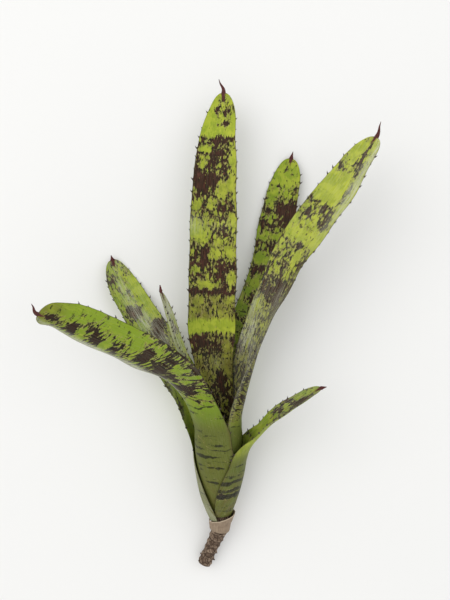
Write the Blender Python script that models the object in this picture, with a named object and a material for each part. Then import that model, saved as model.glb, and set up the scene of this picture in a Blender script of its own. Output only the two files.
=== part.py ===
"""A cut offset of a neoregelia: seven strap leaves on a short stem, laid down on its back.

The rolled leaf bases form a tube along +Y, the open blades spread past its mouth, and +Z is
up from the surface that the plant lies on. Lengths are in millimetres until a mesh is made.
"""

import math
import random
from dataclasses import dataclass

import bmesh
import bpy
from mathutils import Quaternion, Vector

METRE = 0.001

# The leaf tube: bases nested about one straight axis, which rises towards the mouth
TUBE_FOOT = Vector((0.2, -4.0, 11.5))
TUBE_TILT = math.radians(11.0)
TUBE_AXIS = Vector((0.0, math.cos(TUBE_TILT), math.sin(TUBE_TILT)))
TUBE_RIGHT = Vector((1.0, 0.0, 0.0))
TUBE_FRONT = TUBE_RIGHT.cross(TUBE_AXIS)
FOOT_RADIUS = 7.1
MOUTH_RADIUS = 19.0
FLARE_LENGTH = 56.0

# Leaf bases: each inner one sits a pitch further in and starts higher on the stem core
LEAF_THICKNESS = 0.8
MARGIN_THICKNESS = 0.6
NEST_PITCH = 1.4
CLEARANCE = 0.3
CORE_RADIUS = 6.0
CORE_TOP = 28.0
SEAT_RADIUS = CORE_RADIUS + CLEARANCE + LEAF_THICKNESS / 2
BASE_POINTS = 10
TUCK_START = 12.0
TUCK_LENGTH = 20.0

# Blade surface: strips across it, and rows along it, closer where a tooth stands
STRIPS = 8
SHEATH_ROW = 5.0
TOOTH_ROW = 2.0
TOOTH_HEIGHT = 1.3
TOOTH_LEAN = 0.8
TOOTH_CHANCE = 0.8
TOOTH_SPACING = (0.8, 1.1)
TIP_ROUND = 12.0
TIP_ROWS = 5
TIP_POWER = 2.6
TIP_BLUNTNESS = 0.4
TIP_CROWDING = 2.5
RIPPLE_HEIGHT = 0.5
RIPPLE_LENGTH = 34.0

# The cut stem below the leaves: the points on its centre line, and its radius at each
STEM_LINE = ((0.1, -5.6, 11.2), (-0.7, -12.4, 9.6), (-3.8, -20.1, 7.6), (-6.8, -27.0, 5.9),
             (-10.2, -35.2, 4.3))
STEM_RADII = (6.0, 5.3, 4.6, 4.3, 4.5)
STEM_SIDES = 20
STEM_STEP = 1.6
SCAR_STEP = 4.6
SCAR_HEIGHT = 0.35
SCAR_SHARPNESS = 4
ROOT_STUBS = 7
ROOT_LENGTH = (0.8, 1.6)
ROOT_ZONE = 13.0
ROOT_INSET = 0.15
ROOT_SPREAD = 3
UNDERSIDE = -0.5

# The dry scale leaf round the foot of the tube: open at the back left, its rim higher on the right
BRACT_FACING = math.radians(45.0)
BRACT_WRAP = math.radians(155.0)
BRACT_FOOT = -7.5
BRACT_RIM = 1.6
BRACT_SLANT = 2.6
BRACT_THICKNESS = 0.6
BRACT_ROWS = 6
BRACT_STRIPS = 20

# Looks of the drawn pieces
LEAF_ROUGHNESS = 0.38
BRACT_COLOUR = (0.42, 0.31, 0.21)
BRACT_ROUGHNESS = 0.8
STEM_COLOUR = (0.25, 0.18, 0.13)
STEM_ROUGHNESS = 0.85
SHARP_ANGLE = math.radians(50.0)

SEED = 11


@dataclass
class Leaf:
    """One leaf. Angles in degrees, counted round the tube from the right towards the front."""

    name: str
    order: int          # place in the nest of bases, 0 outermost
    azimuth: tuple      # where its midrib lies on the tube, at the seat and where it parts
    wrap: tuple         # half of the angle its base wraps: at the seat, halfway, where it parts
    parting: float      # level on the tube where it parts from it
    opening: float      # length over which the base opens into the blade
    half_width: float   # of the open blade
    channel: float      # radius across the open blade
    roll: float         # twist of the blade about its midrib
    roll_length: float  # length over which the twist comes in
    taper: float        # length of the tapering end
    tooth_step: float
    midrib: tuple       # points along the open blade's midrib
    spine: tuple        # point of the terminal spine
    colour: tuple
    tuck: float = 0.0   # how far the front margin of its base leans in over an empty place


LEAVES = (
    Leaf("leaf_back_left", 0, (225, 225), (122, 92, 46), 45.0, 32.0, 12.5, 20.0, -32.0, 64.0, 60.0, 7.0,
         ((-17.8, 63.6, 9.3), (-24.0, 80.5, 9.0), (-35.0, 99.5, 7.8), (-48.5, 118.5, 5.8),
          (-58.0, 134.0, 4.0), (-64.0, 145.0, 3.0), (-68.0, 154.0, 2.4), (-70.0, 160.5, 2.4)),
         (-70.8, 163.5, 3.0), (0.33, 0.48, 0.10), 1.2),
    Leaf("leaf_lower_right", 1, (8, 8), (112, 95, 62), 40.0, 24.0, 7.6, 8.0, 22.0, 48.0, 42.0, 5.5,
         ((19.0, 43.2, 23.5), (26.2, 53.2, 28.0), (34.0, 61.8, 32.0), (41.8, 68.2, 36.0),
          (49.3, 73.8, 39.0), (56.0, 78.6, 42.0), (60.4, 81.6, 44.0)),
         (63.6, 82.8, 45.5), (0.36, 0.47, 0.12)),
    Leaf("leaf_front_left", 2, (122, 148), (108, 90, 82), 60.0, 30.0, 16.6, 18.0, 34.0, 62.0, 40.0, 9.5,
         ((-15.3, 62.0, 33.5), (-19.5, 75.5, 40.0), (-27.0, 87.0, 47.5), (-38.5, 95.5, 55.5),
          (-53.0, 104.0, 63.0), (-72.0, 113.7, 71.5), (-86.0, 121.0, 77.0), (-93.7, 124.6, 80.3),
          (-99.6, 127.0, 82.5)),
         (-102.6, 132.4, 84.5), (0.34, 0.46, 0.13)),
    Leaf("leaf_back_right", 3, (300, 302), (105, 60, 30), 64.0, 40.0, 12.0, 30.0, 22.0, 80.0, 55.0, 8.0,
         ((7.8, 80.5, 12.0), (10.8, 97.0, 11.5), (15.6, 112.0, 10.5), (23.0, 131.3, 9.0),
          (28.8, 146.1, 7.5), (33.4, 163.5, 5.5), (35.8, 179.2, 3.9), (38.8, 192.3, 2.5),
          (41.2, 204.7, 1.8), (44.0, 216.4, 2.0), (46.0, 226.0, 3.0)),
         (47.2, 230.4, 3.6), (0.28, 0.42, 0.09)),
    Leaf("leaf_right", 4, (335, 348), (105, 95, 80), 68.0, 80.0, 14.8, 24.0, 40.0, 150.0, 86.0, 9.0,
         ((15.6, 76.0, 24.0), (19.8, 94.0, 26.5), (23.8, 109.7, 28.8), (29.0, 125.3, 31.0),
          (35.6, 140.6, 33.2), (43.2, 157.6, 35.5), (52.6, 173.1, 38.2), (62.8, 187.3, 41.0),
          (74.7, 203.7, 44.0), (84.6, 219.0, 45.0), (92.8, 231.3, 46.0)),
         (95.4, 240.0, 48.0), (0.38, 0.50, 0.12)),
    Leaf("leaf_tall_centre", 5, (268, 262), (105, 86, 54), 72.0, 52.0, 15.4, 30.0, -16.0, 40.0, 115.0, 9.5,
         ((-3.2, 84.0, 15.3), (-4.6, 97.0, 16.8), (-5.4, 122.6, 19.0), (-4.4, 150.0, 21.0),
          (-3.9, 174.4, 22.0), (-3.0, 203.7, 22.5), (-1.1, 234.4, 21.5), (1.3, 252.1, 20.5),
          (2.3, 264.1, 20.0)),
         (-0.7, 273.0, 19.0), (0.37, 0.50, 0.11)),
    Leaf("leaf_heart", 6, (190, 166), (105, 88, 48), 74.0, 26.0, 7.0, 7.0, -12.0, 50.0, 48.0, 5.0,
         ((-14.2, 80.0, 31.6), (-19.3, 90.5, 33.0), (-24.8, 102.5, 32.5), (-29.0, 114.3, 33.5),
          (-33.0, 128.4, 34.5), (-35.6, 139.4, 35.5)),
         (-36.1, 143.6, 36.3), (0.36, 0.46, 0.16)),
)


def smooth(x):
    """Ease from 0 to 1."""
    x = min(max(x, 0.0), 1.0)
    return x * x * (3.0 - 2.0 * x)


def mix(a, b, t):
    return a + (b - a) * t


def tube_centre(level):
    return TUBE_FOOT + TUBE_AXIS * level


def outward(angle):
    """The direction away from the tube's axis at an angle in radians."""
    return TUBE_RIGHT * math.cos(angle) + TUBE_FRONT * math.sin(angle)


def nest_radius(order, level):
    """The radius of a leaf base's middle surface at a level on the tube."""
    x = min(level / FLARE_LENGTH, 1.0)
    outside = mix(FOOT_RADIUS, MOUTH_RADIUS, 1.0 - (1.0 - x) ** 2)
    return outside - LEAF_THICKNESS / 2 - order * NEST_PITCH


def seat_level(order):
    """The level at which a leaf base meets the stem core."""
    rise = SEAT_RADIUS - nest_radius(order, 0.0)
    return FLARE_LENGTH * (1.0 - math.sqrt(1.0 - max(rise, 0.0) / (MOUTH_RADIUS - FOOT_RADIUS)))


def along(points, part_steps):
    """A smooth line through points, each part of it in this many steps."""
    line = []
    last = len(points) - 1
    for i in range(last):
        before, here, there, after = (points[max(min(i + k, last), 0)] for k in (-1, 0, 1, 2))
        span = (there - here).length
        leave = (there - before) * span / (span + (here - before).length)
        arrive = (after - here) * span / (span + (after - there).length)
        for k in range(part_steps):
            t = k / part_steps
            line.append(here * (2 * t ** 3 - 3 * t ** 2 + 1) + leave * (t ** 3 - 2 * t ** 2 + t)
                        + there * (3 * t ** 2 - 2 * t ** 3) + arrive * (t ** 3 - t ** 2))
    line.append(points[-1])
    return line


class Path:
    """A line that is read by the distance along it."""

    STEP = 1.5

    def __init__(self, points, part_steps=8):
        self.line = along([Vector(p) for p in points], part_steps)
        self.marks = [0.0]
        for a, b in zip(self.line, self.line[1:]):
            self.marks.append(self.marks[-1] + (b - a).length)
        self.length = self.marks[-1]

    def point(self, distance):
        distance = min(max(distance, 0.0), self.length)
        i = 0
        while i < len(self.marks) - 2 and self.marks[i + 1] < distance:
            i += 1
        t = (distance - self.marks[i]) / (self.marks[i + 1] - self.marks[i])
        return self.line[i].lerp(self.line[i + 1], t)

    def direction(self, distance):
        return (self.point(distance + self.STEP) - self.point(distance - self.STEP)).normalized()


class LeafForm:
    """The middle surface of a leaf, from its seat on the stem to its tip."""

    def __init__(self, leaf):
        self.leaf = leaf
        self.seat = seat_level(leaf.order)
        rise = (leaf.parting - self.seat) / BASE_POINTS
        base = [self.base_point(self.seat + rise * k) for k in range(BASE_POINTS + 1)]
        self.base_length = Path(base).length
        self.path = Path(base + [Vector(p) for p in leaf.midrib])

    def base_share(self, level):
        return (level - self.seat) / (self.leaf.parting - self.seat)

    def base_point(self, level):
        start, end = self.leaf.azimuth
        angle = math.radians(mix(start, end, smooth(self.base_share(level))))
        return tube_centre(level) + outward(angle) * nest_radius(self.leaf.order, level)

    def opened(self, distance):
        """How far the base has opened into the blade, 0 to 1."""
        return smooth((distance - self.base_length) / self.leaf.opening)

    def radius(self, distance):
        """The radius of the section across the leaf."""
        level = mix(self.seat, self.leaf.parting, min(distance / self.base_length, 1.0))
        wrapped = 1.0 / nest_radius(self.leaf.order, level)
        return 1.0 / mix(wrapped, 1.0 / self.leaf.channel, self.opened(distance))

    def half_width(self, distance):
        seat, middle, end = (math.radians(a) for a in self.leaf.wrap)
        share = min(distance / self.base_length, 1.0)
        level = mix(self.seat, self.leaf.parting, share)
        wrap = mix(mix(seat, middle, share), mix(middle, end, share), share)
        wrapped = wrap * nest_radius(self.leaf.order, level)
        width = mix(wrapped, self.leaf.half_width, self.opened(distance))
        left = min((self.path.length - distance) / self.leaf.taper, 1.0)
        return width * max(1.0 - (1.0 - left) ** TIP_POWER, 0.0) ** TIP_BLUNTNESS

    def ahead(self, distance):
        """The line that a section across the leaf is square to: the tube's axis, then the midrib."""
        return TUBE_AXIS.lerp(self.path.direction(distance), self.opened(distance)).normalized()

    def facing(self, distance, ahead):
        """The direction that the inner face looks at the midrib."""
        here = self.path.point(distance)
        level = (here - TUBE_FOOT).dot(TUBE_AXIS)
        inward = (tube_centre(level) - here).normalized()
        inward = (inward - ahead * inward.dot(ahead)).normalized()
        rolled = smooth((distance - self.base_length) / self.leaf.roll_length)
        return Quaternion(ahead, math.radians(self.leaf.roll) * rolled) @ inward

    def ripple(self, distance, across):
        wave = math.sin(2 * math.pi * distance / RIPPLE_LENGTH + self.leaf.order)
        return RIPPLE_HEIGHT * wave * across ** 2 * self.opened(distance)

    def tuck(self, distance, across):
        """How far the front margin of the base leans in, where no base lies right under it."""
        rise = smooth((distance - TUCK_START) / TUCK_LENGTH) * (1.0 - self.opened(distance))
        return self.leaf.tuck * rise * smooth(-across)

    def surface(self, distance, across):
        """The point and the inward normal at a share across the leaf, -1 to 1."""
        ahead = self.ahead(distance)
        facing = self.facing(distance, ahead)
        side = ahead.cross(facing)
        radius = self.radius(distance)
        angle = across * self.half_width(distance) / radius
        normal = facing * math.cos(angle) - side * math.sin(angle)
        centre = self.path.point(distance) + facing * radius
        shift = self.ripple(distance, across) + self.tuck(distance, across)
        return centre + normal * (shift - radius), normal

    def rows(self, rng):
        """Distances of the rows along the leaf, and the rows after which teeth stand."""
        count = max(round(self.base_length / SHEATH_ROW), 2)
        rows = [self.base_length * k / count for k in range(count + 1)]
        toothed = []
        end = self.path.length - TIP_ROUND
        while rows[-1] + self.leaf.tooth_step < end:
            rows.append(rows[-1] + (self.leaf.tooth_step - TOOTH_ROW) * rng.uniform(*TOOTH_SPACING))
            toothed.append(len(rows) - 1)
            rows.append(rows[-1] + TOOTH_ROW)
        for k in range(TIP_ROWS, 0, -1):
            rows.append(self.path.length - TIP_ROUND * (k / TIP_ROWS) ** TIP_CROWDING)
        return rows, toothed


def sheet(bm, rows):
    """A closed plate from rows of (point, normal, thickness). Both faces are split alike."""
    inner = [[bm.verts.new((p + n * t / 2) * METRE) for p, n, t in row] for row in rows]
    outer = [[bm.verts.new((p - n * t / 2) * METRE) for p, n, t in row] for row in rows]
    strips = len(rows[0]) - 1
    for i in range(len(rows) - 1):
        for j in range(strips):
            for grid in (inner, outer):
                a, b, c, d = grid[i][j], grid[i + 1][j], grid[i + 1][j + 1], grid[i][j + 1]
                bm.faces.new((a, b, c))
                bm.faces.new((a, c, d))
    edges = [[bm.faces.new((inner[i][j], inner[i + 1][j], outer[i + 1][j], outer[i][j]))
              for i in range(len(rows) - 1)] for j in (0, strips)]
    for j in range(strips):
        bm.faces.new((inner[0][j], inner[0][j + 1], outer[0][j + 1], outer[0][j]))
    return inner, outer, edges


def point_end(bm, inner, outer, tip):
    """Close the far end of a plate in a spine."""
    point = bm.verts.new(tip * METRE)
    ring = inner[-1] + outer[-1][::-1]
    for a, b in zip(ring, ring[1:] + ring[:1]):
        bm.faces.new((a, b, point))


def flat_end(bm, inner, outer):
    """Close the far end of a plate with a plain edge."""
    for j in range(len(inner[-1]) - 1):
        bm.faces.new((inner[-1][j], inner[-1][j + 1], outer[-1][j + 1], outer[-1][j]))


def raise_teeth(bm, form, rows, toothed, edges, rng):
    """Pull chosen pieces of both margins out into small forward teeth."""
    for i in toothed:
        middle = (rows[i] + rows[i + 1]) / 2
        ahead = form.path.direction(middle)
        for margin, across in zip(edges, (-1, 1)):
            if rng.random() > TOOTH_CHANCE:
                continue
            inside = form.surface(middle, across * (1 - 1 / STRIPS))[0]
            outside = form.surface(middle, across)[0] - inside
            tooth = bmesh.ops.poke(bm, faces=[margin[i]])["verts"][0]
            tooth.co += (outside.normalized() * TOOTH_HEIGHT + ahead * TOOTH_LEAN) * METRE


def add_object(bm, name, colour, roughness, parent):
    """Make the object of a finished mesh, with a material of its own."""
    bmesh.ops.recalc_face_normals(bm, faces=bm.faces)
    mesh = bpy.data.meshes.new(name)
    bm.to_mesh(mesh)
    bm.free()
    mesh.shade_smooth()
    mesh.set_sharp_from_angle(angle=SHARP_ANGLE)
    material = bpy.data.materials.new(name)
    material.use_nodes = True
    shader = material.node_tree.nodes["Principled BSDF"]
    shader.inputs["Base Color"].default_value = (*colour, 1.0)
    shader.inputs["Roughness"].default_value = roughness
    shader.inputs["Metallic"].default_value = 0.0
    mesh.materials.append(material)
    obj = bpy.data.objects.new(name, mesh)
    bpy.context.scene.collection.objects.link(obj)
    obj.parent = parent
    return obj


def add_leaf(leaf, parent):
    rng = random.Random(SEED + leaf.order)
    form = LeafForm(leaf)
    rows, toothed = form.rows(rng)
    grid = []
    for distance in rows:
        row = []
        for j in range(STRIPS + 1):
            across = 2 * j / STRIPS - 1
            thickness = mix(LEAF_THICKNESS, MARGIN_THICKNESS, across ** 2)
            row.append((*form.surface(distance, across), thickness))
        grid.append(row)
    bm = bmesh.new()
    inner, outer, edges = sheet(bm, grid)
    point_end(bm, inner, outer, Vector(leaf.spine))
    raise_teeth(bm, form, rows, toothed, edges, rng)
    return add_object(bm, leaf.name, leaf.colour, LEAF_ROUGHNESS, parent)


class StemForm:
    """The stem core inside the leaf bases, and the woody stem that goes on below it."""

    def __init__(self):
        core = [tube_centre(CORE_TOP), tube_centre(CORE_TOP / 2), tube_centre(0.0)]
        points = core + [Vector(p) for p in STEM_LINE]
        self.radii = (CORE_RADIUS,) * len(core) + STEM_RADII
        self.path = Path(points)
        self.marks = [0.0] + [Path(points[:k]).length for k in range(2, len(points))]
        self.foot = self.marks[len(core) - 1]
        self.marks.append(self.path.length)

    def smooth_radius(self, distance):
        k = 0
        while distance > self.marks[k + 1] and k < len(self.marks) - 2:
            k += 1
        t = (distance - self.marks[k]) / (self.marks[k + 1] - self.marks[k])
        return mix(self.radii[k], self.radii[k + 1], smooth(t))

    def radius(self, distance):
        """The radius with the ring scars, which start below the leaf bases."""
        below = distance - self.foot
        ring = max(math.cos(2 * math.pi * below / SCAR_STEP), 0.0) ** SCAR_SHARPNESS
        scar = SCAR_HEIGHT * (ring - 0.5) * smooth(below / SCAR_STEP)
        return self.smooth_radius(distance) + scar

    def away(self, distance, angle):
        """The direction away from the stem's centre line at an angle in radians."""
        ahead = self.path.direction(distance)
        right = (TUBE_RIGHT - ahead * ahead.dot(TUBE_RIGHT)).normalized()
        return right * math.cos(angle) + ahead.cross(right) * math.sin(angle)

    def ring(self, distance):
        """Points round the stem at a distance down from the core's top."""
        centre = self.path.point(distance)
        radius = self.radius(distance)
        angles = [2 * math.pi * j / STEM_SIDES for j in range(STEM_SIDES)]
        return [centre + self.away(distance, angle) * radius for angle in angles]

    def bract_radius(self, level):
        """The middle radius of the dry scale leaf, which lies over the stem and the outermost base."""
        stem = self.smooth_radius(self.foot - level) + SCAR_HEIGHT / 2
        base = nest_radius(0, level) + LEAF_THICKNESS / 2
        return max(stem, base) + CLEARANCE + BRACT_THICKNESS / 2


def raise_roots(bm, walls):
    """Short stubs of cut roots round the lower end, none on the side that it lies on."""
    rng = random.Random(SEED)
    low_rows = round(ROOT_ZONE / STEM_STEP)
    zone = walls[-low_rows * STEM_SIDES:-STEM_SIDES]
    sites = [face for face in zone if face.normal.z > UNDERSIDE][::ROOT_SPREAD]
    for face in rng.sample(sites, ROOT_STUBS):
        bmesh.ops.inset_individual(bm, faces=[face], thickness=ROOT_INSET * METRE)
        tip = bmesh.ops.extrude_discrete_faces(bm, faces=[face])["faces"][0]
        length = rng.uniform(*ROOT_LENGTH) * METRE
        bmesh.ops.translate(bm, verts=tip.verts, vec=tip.normal * length)


def add_stolon(parent):
    form = StemForm()
    count = round(form.path.length / STEM_STEP)
    bm = bmesh.new()
    rings = []
    for k in range(count + 1):
        points = form.ring(form.path.length * k / count)
        rings.append([bm.verts.new(p * METRE) for p in points])
    walls = []
    for lower, upper in zip(rings, rings[1:]):
        for j in range(STEM_SIDES):
            walls.append(bm.faces.new((lower[j], upper[j], upper[j - 1], lower[j - 1])))
    bm.faces.new(rings[0])
    bm.faces.new(rings[-1][::-1])
    bmesh.ops.recalc_face_normals(bm, faces=bm.faces)
    raise_roots(bm, walls)
    return add_object(bm, "stolon", STEM_COLOUR, STEM_ROUGHNESS, parent)


def add_bract(parent):
    """The dry scale leaf: a thin wrap from the stem up round the foot of the leaf tube."""
    form = StemForm()
    rows = []
    for i in range(BRACT_ROWS + 1):
        row = []
        for j in range(BRACT_STRIPS + 1):
            angle = BRACT_FACING + BRACT_WRAP * (2 * j / BRACT_STRIPS - 1)
            level = mix(BRACT_FOOT, BRACT_RIM + BRACT_SLANT * math.cos(angle), i / BRACT_ROWS)
            distance = form.foot - level
            away = form.away(distance, angle)
            point = form.path.point(distance) + away * form.bract_radius(level)
            row.append((point, -away, BRACT_THICKNESS))
        rows.append(row)
    bm = bmesh.new()
    inner, outer, _ = sheet(bm, rows)
    flat_end(bm, inner, outer)
    return add_object(bm, "dry_bract", BRACT_COLOUR, BRACT_ROUGHNESS, parent)


def stand_at_origin(root, parts):
    """Move the plant so that the middle of its box's underside is at the origin."""
    corners = [v.co for part in parts for v in part.data.vertices]
    low = Vector([min(c[k] for c in corners) for k in range(3)])
    high = Vector([max(c[k] for c in corners) for k in range(3)])
    root.location = (-(low.x + high.x) / 2, -(low.y + high.y) / 2, -low.z)


def main():
    for obj in list(bpy.data.objects):
        bpy.data.objects.remove(obj, do_unlink=True)
    root = bpy.data.objects.new("neoregelia", None)
    bpy.context.scene.collection.objects.link(root)
    parts = [add_leaf(leaf, root) for leaf in LEAVES]
    parts.append(add_bract(root))
    parts.append(add_stolon(root))
    stand_at_origin(root, parts)


main()
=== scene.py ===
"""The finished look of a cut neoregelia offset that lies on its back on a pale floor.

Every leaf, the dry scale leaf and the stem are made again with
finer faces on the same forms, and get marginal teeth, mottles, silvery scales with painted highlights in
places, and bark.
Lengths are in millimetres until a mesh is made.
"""

import math
from dataclasses import dataclass, field

import bmesh
import bpy
import numpy as np
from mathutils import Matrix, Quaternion, Vector
from mathutils import noise as field_noise


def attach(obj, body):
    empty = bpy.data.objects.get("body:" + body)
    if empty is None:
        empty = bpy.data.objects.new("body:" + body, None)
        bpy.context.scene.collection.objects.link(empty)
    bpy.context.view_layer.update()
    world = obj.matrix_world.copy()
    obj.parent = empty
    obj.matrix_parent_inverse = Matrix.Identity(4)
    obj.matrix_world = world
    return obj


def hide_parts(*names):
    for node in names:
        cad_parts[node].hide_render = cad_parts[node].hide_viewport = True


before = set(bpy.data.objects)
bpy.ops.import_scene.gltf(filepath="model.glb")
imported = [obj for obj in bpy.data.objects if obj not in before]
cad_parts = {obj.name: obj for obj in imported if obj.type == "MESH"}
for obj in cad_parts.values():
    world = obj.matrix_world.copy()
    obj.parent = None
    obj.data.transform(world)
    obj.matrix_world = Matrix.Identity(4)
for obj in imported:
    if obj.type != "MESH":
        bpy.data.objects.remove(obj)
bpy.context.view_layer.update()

METRE = 0.001

# The plant's place: what its solids were moved by to stand over the origin
PLANT_SHIFT = Vector((3.600, -118.014, 0.064))

# The leaf tube: bases nested about one straight axis, which rises towards the mouth
TUBE_FOOT = Vector((0.2, -4.0, 11.5))
TUBE_TILT = math.radians(11.0)
TUBE_AXIS = Vector((0.0, math.cos(TUBE_TILT), math.sin(TUBE_TILT)))
TUBE_RIGHT = Vector((1.0, 0.0, 0.0))
TUBE_FRONT = TUBE_RIGHT.cross(TUBE_AXIS)
FOOT_RADIUS = 7.1
MOUTH_RADIUS = 19.0
FLARE_LENGTH = 56.0

# Leaf bases: each inner one sits a pitch further in and starts higher on the stem core
LEAF_THICKNESS = 0.8
RIM_THICKNESS = 0.5
NEST_PITCH = 1.4
CLEARANCE = 0.3
CORE_RADIUS = 6.0
CORE_TOP = 28.0
SEAT_RADIUS = CORE_RADIUS + CLEARANCE + LEAF_THICKNESS / 2
BASE_POINTS = 10
TUCK_START = 12.0
TUCK_LENGTH = 20.0

# Blade form
TIP_POWER = 2.6
TIP_BLUNTNESS = 0.4
RIPPLE_HEIGHT = 0.5
RIPPLE_LENGTH = 34.0

# Fine leaf surface: rows along it, closer near the tip, and columns across it, closer at the rims
ROW_STEP = 0.9
TIP_ZONE = 9.0
TIP_ROWS = 16
SPINE_ROWS = 10
COLUMNS = 37
COLUMN_CROWDING = 1.35
RIM_CURL = 0.94

# Terminal spine: half widths at both ends, and how the flat blade turns round before it
SPINE_BASE = 1.5
SPINE_END = 0.12
SPINE_TAPER = 0.8
SPINE_LEAN = 1.4
SPINE_DEPTH = 0.9
SPINE_LEAD = 2.0
NARROW = 1.2
BEND_STEP = 0.5

# Marginal teeth, which stand on small rises of the rim
TOOTH_LENGTH = 1.65
TOOTH_BASE = 0.55
TOOTH_TOP = 0.03
TOOTH_BEND = 0.5
TOOTH_LEAN = 0.35
TOOTH_SINK = 0.25
TOOTH_SIZES = (0.55, 1.15)
TOOTH_STEPS = (0.45, 1.15)
TOOTH_START = 0.9
TOOTHLESS_END = 9.0
TOOTHLESS_WIDTH = 3.0
SCALLOP_HEIGHT = 0.35
SCALLOP_REACH = 2.2
SCALLOP_SHARE = 0.8
SPIKE_SIDES = 8
SPIKE_RINGS = 5

# Leaf pattern: the steps that set each leaf and face apart in it, and the red-brown stain at the tip
LEAF_STEP = 31.0
FACE_STEP = 7.0
STAIN_LENGTH = 9.0
STAIN_WIDTH = 1.6
STAIN_LEAD = 1.5
STAIN_BLEND = 2.0
SPOT_SHARPNESS = 1.2

# Mottles: width and length of a blotch on each face, and the level of darkness at which each coat shows
INNER_BLOTCH = (6.5, 9.0)
OUTER_BLOTCH = (15.0, 5.0)
OUTER_SLANT = 0.45
GROUND_LEVEL = 0.45
MOTTLE_LEVEL = 0.53
INSIDE_LEVEL = 0.68
SPECK_LEVEL = 0.46
LINE_LEVEL = 0.86

# The cut stem below the leaves: the points on its centre line, and its radius at each
STEM_LINE = ((0.1, -5.6, 11.2), (-0.7, -12.4, 9.6), (-3.8, -20.1, 7.6), (-6.8, -27.0, 5.9),
             (-10.2, -35.2, 4.3))
STEM_RADII = (6.0, 5.3, 4.6, 4.3, 4.5)
STEM_SIDES = 96
STEM_STEP = 0.35
SCAR_STEP = 4.6
SCAR_HEIGHT = 0.35
SCAR_SHARPNESS = 4

# Bark: unevenness as scale round the stem, scale along it, layers and height
BARK_CRAGS = (2.2, 0.34, 4, 0.16)
BARK_FLAKES = (5.0, 1.1, 3, 0.1)
BARK_START = 3.0
BARK_SINK = 0.1
SCAR_SLIP = 1.3
SLIP_SCALE = 1.6
SCAR_EXTRA = 0.2

# The rough cut ends: rings inwards, as shares of the radius
END_RINGS = (0.2, 0.45, 0.72, 0.93)
CUT_DOME = 0.12
CUT_RIDGE = 0.1
CUT_RIDGES = 19

# Stubs of cut roots: a zone of distances from the cut end, and a fan of angles round the front
ROOT_STUBS = 11
ROOT_ZONE = (1.5, 13.0)
ROOT_FAN = (-0.4, math.pi + 0.4)
ROOT_SCATTER = (-0.15, 0.15)
ROOT_LEANS = (-0.1, 0.5)
ROOT_SIZES = (0.6, 1.1)
ROOT_LENGTH = 1.5
ROOT_BASE = 0.75
ROOT_TOP = 0.42
ROOT_BEND = 0.2
ROOT_SINK = 0.45

# The dry scale leaf round the foot of the tube: open at the back left, its rim higher on the right
BRACT_FACING = math.radians(45.0)
BRACT_WRAP = math.radians(155.0)
BRACT_FOOT = -7.5
BRACT_RIM = 1.6
BRACT_SLANT = 2.6
BRACT_THICKNESS = 0.6
BRACT_ROWS = 44
BRACT_COLUMNS = 170

# Its frayed rim, waves and ribs, and how thin it runs out at its sides and at its rim
RIM_TEAR = 0.3
TEAR_SCALE = 0.12
RIM_NICK = 1.2
NICK_START = 0.15
NICK_SCALE = 0.45
RIM_WEAR = 0.2
WAVE_HEIGHT = 0.1
WAVE_SCALES = (0.09, 0.25)
RIB_HEIGHT = 0.03
RIB_TURN = 1.1
THIN_SIDE = 0.25
THIN_RIM = 0.3
SIDE_COLUMNS = 4.0
RIM_SHARE = 0.25
PAPER_WIDTH = 0.3
PAPER_HEIGHT = 10.0

# The camera looks straight down, from the height at which the plant has its share of the view
CAMERA_PLACE = Vector((3.1, 134.5, 525.0))
CAMERA_LENS = 32.26
SENSOR = 24.0

# The floor, in metres: it lies a hair below the plant so that no faces meet
FLOOR_HALF = 3.0
FLOOR_GAP = 0.0002

# Lights: name, place in metres, size, power and colour
LIGHTS = (
    ("soft_window", (-0.8, 0.5, 1.3), 1.5, 7.0, (1.0, 0.99, 0.97)),
    ("fill", (0.9, 0.3, 1.3), 1.4, 3.0, (0.97, 0.98, 1.0)))
SKY_STRENGTH = 0.90

# Colours
LIME = (0.43, 0.480, 0.042)
LEAF_GREEN = (0.195, 0.280, 0.016)
DEEP_GREEN = (0.065, 0.115, 0.012)
KHAKI = (0.215, 0.200, 0.035)
OLIVE = (0.110, 0.088, 0.020)
BROWN_GROUND = (0.165, 0.125, 0.036)
TAN_GROUND = (0.34, 0.31, 0.105)
SHEATH_GREEN = (0.092, 0.110, 0.016)
SHEATH_PALE = (0.150, 0.165, 0.034)
SHEATH_MARGIN = (0.095, 0.055, 0.022)
MAROON = (0.024, 0.009, 0.003)
MAROON_LIGHT = (0.125, 0.040, 0.026)
NEAR_BLACK = (0.007, 0.006, 0.002)
# Silver film; this colour also paints the painted highlight spots
SILVER_AND_SHEEN = (0.54, 0.55, 0.43)
SPINE_RED = (0.085, 0.026, 0.024)
TOOTH_BROWN = (0.026, 0.016, 0.010)
BARK_DARK = (0.034, 0.019, 0.011)
BARK_TAUPE = (0.150, 0.100, 0.068)
BARK_PALE = (0.36, 0.27, 0.19)
CUT_WOOD = (0.42, 0.30, 0.20)
PAPER_BROWN = (0.16, 0.110, 0.072)
PAPER_TAN = (0.36, 0.275, 0.190)
PAPER_RIM = (0.52, 0.42, 0.30)
FLOOR_SHADE = (0.80, 0.80, 0.79)
FLOOR_PALE = (0.83, 0.83, 0.815)

LEAF_SEED = 40
ROOT_SEED = 7


@dataclass
class Marks:
    """What colours a face of a leaf, by the distance along it.

    A line is (distance, amount) points. A spot is (share across, distance, half share,
    half distance, amount that it adds). A share runs from -1 at the left margin to 1 at the
    right one, as the inner face shows them with the tip up.
    """

    maroon: tuple = ((0, 0.0),)     # line: cover of the dark mottles
    olive: tuple = ((0, 0.0),)      # line: brownish tint, with specks
    streaks: tuple = ((0, 0.0),)    # line: thin dark lines across
    scurf: tuple = ((0, 0.0),)      # line: silver film
    deep: tuple = ((0, 0.0),)       # line: darkening of the green
    lush: float = 0.15              # share of leaf green in the lime
    sheath: float = 60.0            # distance at which the sheath's olive ends
    blots: tuple = ()               # spots of mottle, or holes in it
    silver_and_sheen: tuple = ()              # spots of silver film, and spots of painted highlight


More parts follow.
